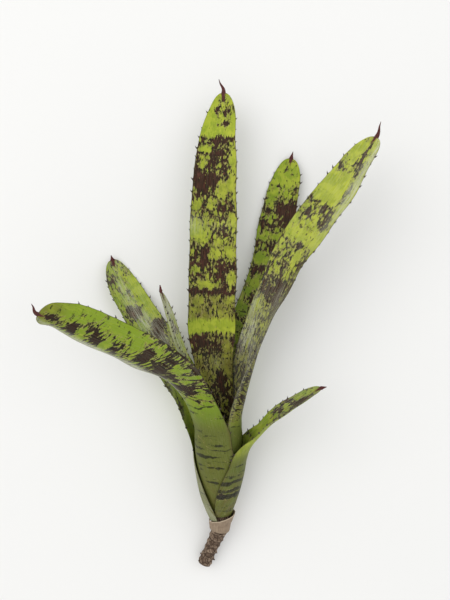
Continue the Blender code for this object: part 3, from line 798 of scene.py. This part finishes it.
def leaf_values(form, shares, distances):
    """What the leaf's material reads, kept on the points of its rings."""
    count = len(shares)
    rows = np.ones(len(distances))
    inner = face_marks(form.leaf.inner, shares, distances)
    outer = face_marks(form.leaf.outer, shares, distances)
    values = {key: np.concatenate([inner[key], outer[key][:, -2:0:-1]], axis=1) for key in inner}
    ring_shares = np.concatenate([shares, shares[-2:0:-1]])
    side = np.concatenate([np.zeros(count), np.ones(count - 2)])
    side[[0, count - 1]] = 0.5
    across = np.outer([form.half_width(d) for d in distances], ring_shares)
    lengthwise = np.outer(distances, np.ones(len(ring_shares)))
    values["outer"] = np.outer(rows, side)
    values["rim"] = np.outer(rows, np.abs(ring_shares))
    past = lengthwise - form.blade_end
    near_end = np.clip((past + STAIN_LENGTH) / STAIN_LENGTH, 0, 1)
    on_spine = np.clip((past + STAIN_LEAD) / STAIN_BLEND, 0, 1)
    values["tip"] = np.maximum(on_spine, near_end * np.exp(-(across / STAIN_WIDTH) ** 2))
    values = {key: value.ravel() for key, value in values.items()}
    depth = form.leaf.order * LEAF_STEP + np.outer(rows, side) * FACE_STEP
    values["place"] = np.stack([across, lengthwise, depth], axis=2).reshape(-1, 3)
    return values


def add_leaf(leaf):
    """The fine leaf: a closed plate with rounded rims, in rings from its seat to its spine's end."""
    form = LeafForm(leaf)
    sites = tooth_sites(form, np.random.default_rng(LEAF_SEED + leaf.order))
    distances = form.distances()
    even = np.linspace(-1, 1, COLUMNS)
    shares = np.sign(even) * (1 - (1 - np.abs(even)) ** COLUMN_CROWDING)
    rings = []
    for distance, scallop in zip(distances, margin_scallops(sites, distances)):
        middle, normal, _ = form.section(distance, shares, scallop)
        half = normal * (form.thickness(distance, shares) / 2)[:, None]
        rings.append(np.concatenate([middle + half, (middle - half)[-2:0:-1]]))
    faces = tube_faces(len(rings), len(rings[0]))
    values = leaf_values(form, shares, distances)
    replace_node(leaf.name, np.concatenate(rings), faces, values, leaf_tissue(form))
    return form, sites


def operator(operation, reflected=False):
    """A method that adds a Math node for a value and another one, which comes first if reflected."""
    def act(self, other):
        first, second = (other, self) if reflected else (self, other)
        return self.nodes.node("ShaderNodeMath", {"operation": operation}, {0: first, 1: second})
    return act


class Value:
    """A value in a node tree. Sums, differences, products and quotients add their Math nodes."""

    __add__ = operator("ADD")
    __radd__ = operator("ADD", reflected=True)
    __sub__ = operator("SUBTRACT")
    __rsub__ = operator("SUBTRACT", reflected=True)
    __mul__ = operator("MULTIPLY")
    __rmul__ = operator("MULTIPLY", reflected=True)
    __truediv__ = operator("DIVIDE")
    __rtruediv__ = operator("DIVIDE", reflected=True)

    def __init__(self, nodes, socket):
        self.nodes = nodes
        self.socket = socket

    def clamp(self):
        return self.nodes.node("ShaderNodeClamp", {}, {"Value": self})

    def over(self, edge, softness):
        """0 below an edge and 1 above it, with a soft step between."""
        ends = {"Value": self, "From Min": edge - softness, "From Max": edge + softness}
        return self.nodes.node("ShaderNodeMapRange", {"interpolation_type": "SMOOTHSTEP"}, ends)


class Nodes:
    """A node tree whose nodes are made by calls and by sums of values."""

    def __init__(self, tree):
        self.tree = tree

    def node(self, kind, settings, inputs, output=0):
        """Any node: its settings first, then the values or links of its sockets."""
        node = self.tree.nodes.new(kind)
        for key, value in settings.items():
            setattr(node, key, value)
        for key, value in inputs.items():
            self.join(node.inputs[key], value)
        return Value(self, node.outputs[output])

    def join(self, socket, value):
        if isinstance(value, Value):
            self.tree.links.new(value.socket, socket)
        elif isinstance(value, tuple) and len(socket.default_value) > len(value):
            socket.default_value = (*value, 1.0)
        else:
            socket.default_value = value

    def split(self, kind, value):
        """The three parts of a colour or a vector."""
        return (self.node("ShaderNodeSeparate" + kind, {}, {0: value}, k) for k in range(3))

    def joined(self, x, y, z):
        return self.node("ShaderNodeCombineXYZ", {}, {0: x, 1: y, 2: z})


class Paint(Nodes):
    """A material, and the calls that its nodes are made by."""

    def __init__(self, name):
        self.material = bpy.data.materials.new(name)
        self.material.use_nodes = True
        super().__init__(self.material.node_tree)
        self.shader = self.tree.nodes["Principled BSDF"]

    def ramp(self, share, stops):
        """A colour that changes along a share, through stops of (share, colour)."""
        colour = self.node("ShaderNodeValToRGB", {}, {0: share})
        elements = colour.socket.node.color_ramp.elements
        while len(elements) < len(stops):
            elements.new(1.0)
        for element, (position, amounts) in zip(elements, stops):
            element.position = position
            element.color = (*amounts, 1.0)
        return colour

    def kept(self, name, output=2):
        """A value kept on the piece's points."""
        return self.node("ShaderNodeAttribute", {"attribute_name": name}, {}, output)

    def kept_place(self):
        """The place on the piece's own surface in millimetres, kept as a vector."""
        return self.kept("place", 1)

    def object_place(self):
        return self.node("ShaderNodeTexCoord", {}, {}, "Object")

    def scaled(self, place, scale):
        return self.node("ShaderNodeVectorMath", {"operation": "MULTIPLY"}, {0: place, 1: scale})

    def noise(self, place, scale, detail=3.0, roughness=0.55):
        """Noise about 0.5 over a place, with a scale for each of its parts."""
        place = self.scaled(place, scale)
        sockets = {"Vector": place, "Scale": 1.0, "Detail": detail, "Roughness": roughness}
        return self.node("ShaderNodeTexNoise", {}, sockets)

    def cells(self, place, scale):
        """The distance from the edges of rounded cells."""
        sockets = {"Vector": self.scaled(place, scale), "Scale": 1.0}
        return self.node("ShaderNodeTexVoronoi", {"feature": "DISTANCE_TO_EDGE"}, sockets)

    def blend(self, low, high, share):
        """A colour between two, by a share from 0 to 1."""
        return self.node("ShaderNodeMix", {"data_type": "RGBA"}, {0: share, 6: low, 7: high}, 2)

    def bump(self, height, strength, distance, below=None):
        sockets = {"Height": height, "Strength": strength, "Distance": distance}
        if below:
            sockets["Normal"] = below
        return self.node("ShaderNodeBump", {}, sockets)

    def finish(self, **sockets):
        """Join the shader's sockets and give the material back."""
        for name, value in sockets.items():
            self.join(self.shader.inputs[name.replace("_", " ")], value)
        return self.material


class LeafPaint(Paint):
    """The material of one leaf, with the values that its coats share."""

    def __init__(self, form):
        super().__init__(form.leaf.name + "_tissue")
        self.form = form
        self.place = self.kept_place()
        self.across, self.distance, self.depth = self.split("XYZ", self.place)
        self.outer = self.kept("outer").over(0.5, 0.2)
        self.inner = 1 - self.outer
        self.grain = self.noise(self.place, (1.1, 0.35, 1.0), 4.0, 0.6)
        self.patch = self.noise(self.place, (0.2, 0.16, 2.0))
        comb = self.noise(self.place, (1.3, 0.06, 1.0), 3.0, 0.7)
        wander = self.noise(self.place, (0.16, 0.12, 1.0), 2.0)
        self.jagged = self.distance + (comb - 0.5) * (self.inner * 7.0 + 1.5) + (wander - 0.5) * 4.0
        self.maroon, self.olive, self.streaks = self.bands()
        self.rolled = self.outer * (1 - self.distance.over(form.leaf.outer.sheath, 10.0))
        self.blotch, self.cell = self.blotches()
        self.flakes = self.noise(self.place, (2.4, 1.4, 1.0), 3.0, 0.7)
        brush = self.noise(self.place, (1.6, 0.07, 1.0), 4.0, 0.7)
        streaky = ((brush - 0.38) * 3.2 + (self.flakes - 0.5) * 1.6).clamp()
        # The film also holds the painted highlight spots on a fold and on a shaded strip
        self.film_and_sheen = (self.kept("scurf") * streaky).clamp()

    def by_face(self, inner, outer):
        """One value on the inner face and another on the outer one."""
        return self.inner * inner + self.outer * outer

    def bands(self):
        """The amounts of maroon, olive and streaks by the distance along the leaf."""
        leaf = self.form.leaf
        share = self.jagged * (1 / self.form.length)
        faces = (self.ramp(share, band_stops(marks, self.form.length)) for marks in (leaf.inner, leaf.outer))
        return self.split("Color", self.blend(*faces, self.outer))

    def blotch_noise(self, place, size):
        """Noise about 0 with blotches of this width and length, and the net of its cells."""
        wide, long = size
        clouds = self.noise(place, (1 / wide, 1 / long, 1.0), 3.0, 0.6)
        crumbs = self.noise(place, (3.2 / wide, 2.8 / long, 1.0), 4.0, 0.7)
        cell = (self.cells(place, (1.9 / wide, 2.1 / long, 1.0)) * 3.0).clamp()
        return clouds - 0.5 + (crumbs - 0.5) * 1.1 + (0.6 - cell) * 0.42, cell

    def blotches(self):
        """Blotches and their cells: lengthwise on the inner face, slanted on the outer one."""
        place = self.joined(self.across, self.jagged, self.depth)
        inner, inner_cell = self.blotch_noise(place, INNER_BLOTCH)
        slanted = self.joined(self.across, self.distance - self.across * OUTER_SLANT, self.depth)
        outer, outer_cell = self.blotch_noise(slanted, OUTER_BLOTCH)
        return self.by_face(inner, outer), self.by_face(inner_cell, outer_cell)

    def ground(self):
        """The green in patches, olive on the rolled base, with khaki and brownish stains."""
        lush = self.by_face(self.form.leaf.inner.lush, self.form.leaf.outer.lush)
        leafy = self.patch.over(0.5, 0.06) * 0.4 + (self.grain - 0.5) * 0.9 + lush - self.across * 0.013
        green = self.blend(LIME, LEAF_GREEN, leafy.clamp())
        sheath = self.blend(SHEATH_GREEN, SHEATH_PALE, ((self.grain - 0.35) * 1.4).clamp())
        green = self.blend(green, sheath, self.rolled)
        margin = self.kept("rim").over(0.94, 0.05) * self.rolled
        green = self.blend(green, SHEATH_MARGIN, margin * 0.4)
        green = self.blend(green, DEEP_GREEN, self.kept("deep").clamp())
        broad = self.noise(self.place, (0.13, 0.08, 1.0))
        khaki = (self.olive * (broad * 3.0 - 0.7)).clamp() * (0.8 - self.rolled * 0.6)
        green = self.blend(green, KHAKI, khaki)
        return self.blend(green, OLIVE, (self.olive * (self.patch * 3.2 - 0.95)).clamp() * 0.8)

    def mottled(self, green):
        """Maroon mottles that crumble into a brownish ground, and specks between them."""
        lengthwise = self.noise(self.place, (0.7, 0.42, 1.0), 4.0, 0.7)
        crosswise = self.noise(self.place, (0.3, 0.75, 1.0), 4.0, 0.7)
        crumbs = self.by_face(lengthwise, crosswise) - 0.5
        fibre = self.noise(self.place, (1.5, 0.16, 1.0), 3.0, 0.65)
        darkness = self.maroon + self.kept("blots") + self.blotch
        cells = self.blend(BROWN_GROUND, TAN_GROUND, fibre.over(0.5, 0.07))
        colour = self.blend(green, cells, darkness.over(GROUND_LEVEL, 0.12) * 0.85)
        ruddy = ((fibre - 0.45) * 4.0).clamp() * (self.patch * 3.0 - 0.9).clamp() * self.inner
        interior = self.blend(MAROON, MAROON_LIGHT, ruddy)
        mottle = self.blend(NEAR_BLACK, interior, darkness.over(INSIDE_LEVEL, 0.12))
        crumbled = darkness + crumbs * (self.inner * 0.8 + 0.9)
        colour = self.blend(colour, mottle, crumbled.over(MOTTLE_LEVEL, 0.05))
        specks = (crumbs * 1.6 + self.olive * 0.3 + self.maroon * 0.2).over(SPECK_LEVEL, 0.05)
        return self.blend(colour, NEAR_BLACK, specks * 0.8)

    def lined(self, colour):
        """Thin dark lines across."""
        waver = self.noise(self.place, (0.12, 0.3, 1.0), 2.0)
        place = self.joined(self.across, self.distance + waver * 3.0, self.depth)
        lines = self.noise(place, (0.09, 0.42, 1.0), 4.0, 0.6)
        line = (lines + self.streaks * 0.5 + (self.grain - 0.5) * 0.25).over(LINE_LEVEL, 0.035)
        return self.blend(colour, NEAR_BLACK, line * 0.85)

    def edged(self, colour):
        """The dark rim line and the red-brown end."""
        colour = self.blend(colour, TOOTH_BROWN, self.kept("rim").over(0.985, 0.012) * 0.6)
        tip = self.kept("tip") + (self.grain - 0.5) * 1.1
        return self.blend(colour, SPINE_RED, tip.over(0.5, 0.2))

    def relief(self):
        """Fine veins along the leaf, and the scales on its skin."""
        veins = self.noise(self.place, (2.6, 0.02, 1.0), 2.0)
        ribbed = self.bump(veins, 0.3, 0.0002)
        return self.bump(self.flakes * 0.6 + self.cell * 0.4, 0.18, 0.0003, ribbed)


def leaf_tissue(form):
    """Green leaf with maroon mottles, cross lines and a silvery coat of scales, on both faces; some of its
    spots are painted highlights.
    """
    paint = LeafPaint(form)
    colour = paint.lined(paint.mottled(paint.ground()))
    # Silver film over the colour, which is painted highlight where its spots stand for sheen
    colour = paint.edged(paint.blend(colour, SILVER_AND_SHEEN, paint.film_and_sheen * 0.8))
    roughness = 0.44 + paint.film_and_sheen * 0.3 + (paint.grain - 0.5) * 0.12
    return paint.finish(Base_Color=colour, Roughness=roughness, Normal=paint.relief(),
                        Specular_IOR_Level=0.09)


def horn():
    """The dark horn of the marginal teeth."""
    paint = Paint("tooth_horn")
    spread = paint.noise(paint.object_place(), (900.0, 900.0, 900.0), 2.0)
    colour = paint.blend(TOOTH_BROWN, SPINE_RED, (spread - 0.3).clamp() * 0.6)
    return paint.finish(Base_Color=colour, Roughness=0.45)


def bark(name):
    """Taupe bark with paler torn edges on the ring scars, dark cracks and a pale cut end."""
    paint = Paint(name)
    place = paint.object_place()
    fibres = paint.noise(place, (1500.0, 300.0, 1500.0), 4.0, 0.7)
    patches = paint.noise(place, (330.0, 330.0, 330.0), 4.0, 0.65)
    cracks = paint.cells(place, (420.0, 300.0, 420.0))
    colour = paint.blend(BARK_DARK, BARK_TAUPE, (patches * 1.4 + fibres * 0.8 - 0.35).clamp())
    colour = paint.blend(colour, BARK_PALE, (paint.kept("scar") * (fibres + 0.3)).clamp() * 0.7)
    colour = paint.blend(colour, BARK_PALE, (patches - 0.56).over(0.0, 0.05) * 0.45)
    colour = paint.blend(colour, BARK_DARK, (0.08 - cracks).over(0.0, 0.04) * 0.85)
    colour = paint.blend(colour, CUT_WOOD, paint.kept("cut") * (0.4 + fibres * 0.5))
    relief = paint.bump(fibres + patches, 0.5, 0.0005)
    return paint.finish(Base_Color=colour, Roughness=0.8, Normal=relief, Specular_IOR_Level=0.25)


def dry_paper():
    """Papery brown scale leaf, streaked along its fibres, paler at its torn rim."""
    paint = Paint("dry_paper")
    place = paint.kept_place()
    fibres = paint.noise(place, (1.6, 0.12, 1.0), 4.0, 0.7)
    stains = paint.noise(place, (0.35, 0.5, 1.0), 3.0, 0.6)
    colour = paint.blend(PAPER_BROWN, PAPER_TAN, (fibres * 1.6 + stains * 0.8 - 0.7).clamp())
    colour = paint.blend(colour, PAPER_RIM, paint.kept("rise").over(0.93, 0.04) * 0.85)
    relief = paint.bump(fibres, 0.5, 0.0004)
    return paint.finish(Base_Color=colour, Roughness=0.75, Normal=relief, Specular_IOR_Level=0.3)


def floor_paint():
    paint = Paint("pale_floor")
    mottled = paint.noise(paint.object_place(), (3.0, 3.0, 3.0), 2.0)
    colour = paint.blend(FLOOR_SHADE, FLOOR_PALE, mottled)
    return paint.finish(Base_Color=colour, Roughness=0.7, Specular_IOR_Level=0.2)


def spike_tree():
    """A node tree that sets a bent, blunt or pointed spike on every point that it is given."""
    tree = bpy.data.node_groups.new("spikes", "GeometryNodeTree")
    inputs = {"Geometry": "Geometry", "Length": "Float", "Base radius": "Float", "Top radius": "Float",
              "Bend": "Float", "Material": "Material"}
    for name, kind in inputs.items():
        tree.interface.new_socket(name, in_out="INPUT", socket_type="NodeSocket" + kind)
    tree.interface.new_socket("Geometry", in_out="OUTPUT", socket_type="NodeSocketGeometry")
    nodes = Nodes(tree)
    group = tree.nodes.new("NodeGroupInput")
    given = {name: Value(nodes, group.outputs[name]) for name in inputs}

    def made(kind, inputs):
        return nodes.node("GeometryNode" + kind, {}, inputs)

    def kept(name, kind):
        return nodes.node("GeometryNodeInputNamedAttribute", {"data_type": kind}, {"Name": name})

    cone = made("MeshCone", {"Vertices": SPIKE_SIDES, "Side Segments": SPIKE_RINGS,
                             "Radius Top": given["Top radius"], "Radius Bottom": given["Base radius"],
                             "Depth": given["Length"]})
    _, _, height = nodes.split("XYZ", made("InputPosition", {}))
    share = height / given["Length"]
    bend = nodes.joined(share * share * given["Bend"] * given["Length"], 0.0, 0.0)
    bent = made("SetPosition", {"Geometry": cone, "Offset": bend})
    turn = nodes.node("FunctionNodeAxesToRotation", {"primary_axis": "Z", "secondary_axis": "X"},
                      {0: kept("stands", "FLOAT_VECTOR"), 1: kept("ahead", "FLOAT_VECTOR")})
    spread = made("InstanceOnPoints", {"Points": given["Geometry"], "Instance": bent, "Rotation": turn,
                                       "Scale": kept("size", "FLOAT")})
    coated = made("SetMaterial", {"Geometry": made("RealizeInstances", {"Geometry": spread}),
                                  "Material": given["Material"]})
    nodes.join(tree.nodes.new("NodeGroupOutput").inputs[0], coated)
    return tree


def add_spikes(name, tree, sites, sizes, material, slot):
    """Run the tree on sites of (point, stands, ahead, size) and keep the result as a plain mesh."""
    points, stands, aheads, scales = (np.array(column) for column in zip(*sites))
    values = {"stands": stands, "ahead": aheads, "size": scales}
    obj = add_object(name, new_mesh(name + "_points", points, [], values))
    length, base, top, bend = sizes
    settings = {"Length": length * METRE, "Base radius": base * METRE, "Top radius": top * METRE,
                "Bend": bend, "Material": material}
    modifier = obj.modifiers.new("made", "NODES")
    modifier.node_group = tree
    for socket in tree.interface.items_tree:
        if socket.in_out == "INPUT" and socket.name in settings:
            modifier[socket.identifier] = settings[socket.name]
    seen = obj.evaluated_get(bpy.context.evaluated_depsgraph_get())
    made = bpy.data.meshes.new_from_object(seen)
    obj.modifiers.remove(modifier)
    obj.data = made
    made.name = name
    made.shade_smooth()
    add_piece(obj, slot)


def leaf_teeth(form, margins):
    """The sites of the teeth on both margins of a leaf, just inside its rim."""
    for margin, share in zip(margins, (-1.0, 1.0)):
        for place, size in margin:
            if form.half_width(place) < TOOTHLESS_WIDTH:
                continue
            scallop = np.array([SCALLOP_HEIGHT * size] * 2)
            at, _, tangent = form.section(place, np.array([share]), scallop)
            out = tangent[0] * share
            ahead = np.array(form.direction(place))
            lean = out + ahead * TOOTH_LEAN
            yield at[0] - out * TOOTH_SINK, lean / np.linalg.norm(lean), ahead, size


def add_teeth(leaves, tree):
    sites = [site for form, margins in leaves for site in leaf_teeth(form, margins)]
    sizes = (TOOTH_LENGTH, TOOTH_BASE, TOOTH_TOP, TOOTH_BEND)
    add_spikes("margin_teeth", tree, sites, sizes, horn(), "leaf_tall_centre")


class StemForm:
    """The stem core inside the leaf bases, and the woody stem that goes on below it."""

    def __init__(self):
        core = [tube_centre(CORE_TOP), tube_centre(CORE_TOP / 2), tube_centre(0.0)]
        points = core + [Vector(p) for p in STEM_LINE]
        self.radii = (CORE_RADIUS,) * len(core) + STEM_RADII
        self.path = Path(points)
        self.marks = [0.0] + [Path(points[:k]).length for k in range(2, len(points))]
        self.foot = self.marks[len(core) - 1]
        self.marks.append(self.path.length)

    def smooth_radius(self, distance):
        k = 0
        while distance > self.marks[k + 1] and k < len(self.marks) - 2:
            k += 1
        t = (distance - self.marks[k]) / (self.marks[k + 1] - self.marks[k])
        return mix(self.radii[k], self.radii[k + 1], smooth(t))

    def scar(self, distance):
        """How much a ring scar rises here, 0 to 1, on the stem below the leaf bases."""
        below = distance - self.foot
        return max(math.cos(2 * math.pi * below / SCAR_STEP), 0.0) ** SCAR_SHARPNESS

    def radius(self, distance):
        below = smooth((distance - self.foot) / SCAR_STEP)
        return self.smooth_radius(distance) + SCAR_HEIGHT * (self.scar(distance) - 0.5) * below

    def away(self, distance, angle):
        """The direction away from the stem's centre line at an angle in radians."""
        ahead = self.path.direction(distance)
        right = (TUBE_RIGHT - ahead * ahead.dot(TUBE_RIGHT)).normalized()
        return right * math.cos(angle) + ahead.cross(right) * math.sin(angle)

    def bark_relief(self, distance, way):
        """How far the bark stands out here from the plain stem, and how much of a ring scar it is."""
        uneven = 0.0
        for round_scale, long_scale, layers, height in (BARK_CRAGS, BARK_FLAKES):
            rough = fractal(way.x * round_scale, distance * long_scale, way.z * round_scale, layers)
            uneven += rough * height
        slip = field_noise.noise(Vector((way.x * SLIP_SCALE, 3.0, way.z * SLIP_SCALE))) * SCAR_SLIP
        scar = self.scar(distance + slip)
        start = smooth((distance - self.foot) / BARK_START)
        return start * (uneven + (scar - 0.5) * SCAR_EXTRA - BARK_SINK), scar

    def bract_radius(self, level):
        """The middle radius of the dry scale leaf, which lies over the stem and the outermost base."""
        stem = self.smooth_radius(self.foot - level) + SCAR_HEIGHT / 2
        base = nest_radius(0, level) + LEAF_THICKNESS / 2
        return max(stem, base) + CLEARANCE + BRACT_THICKNESS / 2


def end_rings(ring, way, shares):
    """Rings inwards over a rough cut end, from its outer ring."""
    middle = ring.mean(axis=0)
    lifts = [CUT_DOME * (1 - share) + CUT_RIDGE * math.sin(share * CUT_RIDGES) for share in shares]
    return [middle + (ring - middle) * share + way * lift for share, lift in zip(shares, lifts)]


def add_stolon(form):
    """The woody stem with rough bark, ring scars and a cut end."""
    count = round(form.path.length / STEM_STEP)
    angles = [2 * math.pi * j / STEM_SIDES for j in range(STEM_SIDES)]
    walls = []
    scars = []
    for k in range(count + 1):
        distance = form.path.length * k / count
        centre = form.path.point(distance)
        ring = []
        for angle in angles:
            way = form.away(distance, angle)
            relief, scar = form.bark_relief(distance, way)
            ring.append(tuple(centre + way * (form.radius(distance) + relief)))
            scars.append(scar)
        walls.append(np.array(ring))
    top = end_rings(walls[0], -np.array(form.path.direction(0.0)), END_RINGS)
    bottom = end_rings(walls[-1], np.array(form.path.direction(form.path.length)), END_RINGS[::-1])
    rings = top + walls + bottom
    pad = len(END_RINGS) * STEM_SIDES
    values = {"scar": np.pad(scars, pad), "cut": np.pad(np.zeros(len(scars)), pad, constant_values=1.0)}
    faces = tube_faces(len(rings), STEM_SIDES)
    replace_node("stolon", np.concatenate(rings), faces, values, bark("stem_bark"))


def add_root_stubs(form, tree):
    """Stubs of cut roots round the lower end, none on the side that it lies on."""
    rng = np.random.default_rng(ROOT_SEED)
    sites = []
    for angle in np.linspace(*ROOT_FAN, ROOT_STUBS):
        distance = form.path.length - rng.uniform(*ROOT_ZONE)
        away = form.away(distance, angle + rng.uniform(*ROOT_SCATTER))
        point = form.path.point(distance) + away * (form.radius(distance) - ROOT_SINK)
        ahead = form.path.direction(distance)
        stands = (away + ahead * rng.uniform(*ROOT_LEANS)).normalized()
        sites.append((tuple(point), tuple(stands), tuple(ahead), rng.uniform(*ROOT_SIZES)))
    sizes = (ROOT_LENGTH, ROOT_BASE, ROOT_TOP, ROOT_BEND)
    add_spikes("root_stubs", tree, sites, sizes, bark("root_bark"), "stolon")


def bract_rim(column, angle):
    """The level of the frayed rim: a slanted ring with tears and narrow nicks."""
    tear = fractal(column * TEAR_SCALE, 1.0, 0.0, 4)
    nick = max(field_noise.noise(Vector((column * NICK_SCALE, 9.0, 0.0))) - NICK_START, 0.0)
    slanted = BRACT_RIM + BRACT_SLANT * math.cos(angle)
    return slanted + tear * RIM_TEAR - nick * RIM_NICK - RIM_WEAR


def bract_points(form, column, share):
    """The inner and the outer point of the scale leaf at a column and a share of its height."""
    angle = BRACT_FACING + BRACT_WRAP * (2 * column / BRACT_COLUMNS - 1)
    level = mix(BRACT_FOOT, bract_rim(column, angle), share)
    wave = fractal(column * WAVE_SCALES[0], level * WAVE_SCALES[1], 4.0, 3) * WAVE_HEIGHT
    rib = math.sin(column * RIB_TURN) * RIB_HEIGHT
    radius = form.bract_radius(level) + wave * smooth(share * 2) + rib
    side = min(column, BRACT_COLUMNS - column) / SIDE_COLUMNS
    half = BRACT_THICKNESS / 2 * min(1.0, THIN_SIDE + side, THIN_RIM + (1 - share) / RIM_SHARE)
    distance = form.foot - level
    centre = np.array(form.path.point(distance))
    way = np.array(form.away(distance, angle))
    return centre + way * (radius - half), centre + way * (radius + half)


def add_bract(form):
    """The papery scale leaf, with a frayed rim and fine ribs along it."""
    columns = [*range(BRACT_COLUMNS + 1)]
    rows = []
    for i in range(BRACT_ROWS + 1):
        inner, outer = zip(*(bract_points(form, column, i / BRACT_ROWS) for column in columns))
        rows.append(inner + outer[::-1])
    count = len(rows[0])
    faces = tube_faces(len(rows), count)[:-2]
    for base in (0, BRACT_ROWS * count):
        for j in range(BRACT_COLUMNS):
            faces.append((base + j, base + j + 1, base + count - 2 - j, base + count - 1 - j))
    rise = np.repeat(np.linspace(0, 1, BRACT_ROWS + 1), count)
    turn = np.tile(columns + columns[::-1], BRACT_ROWS + 1)
    place = np.stack([turn * PAPER_WIDTH, rise * PAPER_HEIGHT, 0 * rise], axis=1)
    points = np.array(rows).reshape(-1, 3)
    replace_node("dry_bract", points, faces, {"rise": rise, "place": place}, dry_paper())


def add_floor():
    mesh = bpy.data.meshes.new("floor")
    corners = [(x * FLOOR_HALF, y * FLOOR_HALF, 0.0) for x, y in ((-1, -1), (1, -1), (1, 1), (-1, 1))]
    mesh.from_pydata(corners, [], [(0, 1, 2, 3)])
    mesh.materials.append(floor_paint())
    floor = add_object("floor", mesh)
    floor.location = (0.0, 0.0, -FLOOR_GAP)


def add_camera():
    camera = bpy.data.cameras.new("camera")
    camera.lens = CAMERA_LENS
    camera.sensor_fit = "VERTICAL"
    camera.sensor_height = SENSOR
    obj = add_object("camera", camera)
    obj.location = (CAMERA_PLACE + PLANT_SHIFT) * METRE
    bpy.context.scene.camera = obj


def add_light(name, place, size, power, colour):
    """A round soft light that looks at the origin."""
    light = bpy.data.lights.new(name, "AREA")
    light.shape = "DISK"
    light.size = size
    light.energy = power
    light.color = colour
    obj = add_object(name, light)
    obj.location = place
    obj.rotation_euler = (-Vector(place)).to_track_quat("-Z", "Y").to_euler()


def add_sky():
    """Even white light from all round."""
    world = bpy.data.worlds.new("studio")
    bpy.context.scene.world = world
    world.use_nodes = True
    sky = world.node_tree.nodes["Background"]
    sky.inputs["Color"].default_value = (1.0, 1.0, 1.0, 1.0)
    sky.inputs["Strength"].default_value = SKY_STRENGTH


def main():
    bpy.context.scene.view_settings.view_transform = "Standard"
    add_camera()
    leaves = [add_leaf(leaf) for leaf in LEAVES]
    tree = spike_tree()
    add_teeth(leaves, tree)
    stem = StemForm()
    add_stolon(stem)
    add_root_stubs(stem, tree)
    add_bract(stem)
    add_floor()
    add_sky()
    for light in LIGHTS:
        add_light(*light)


main()
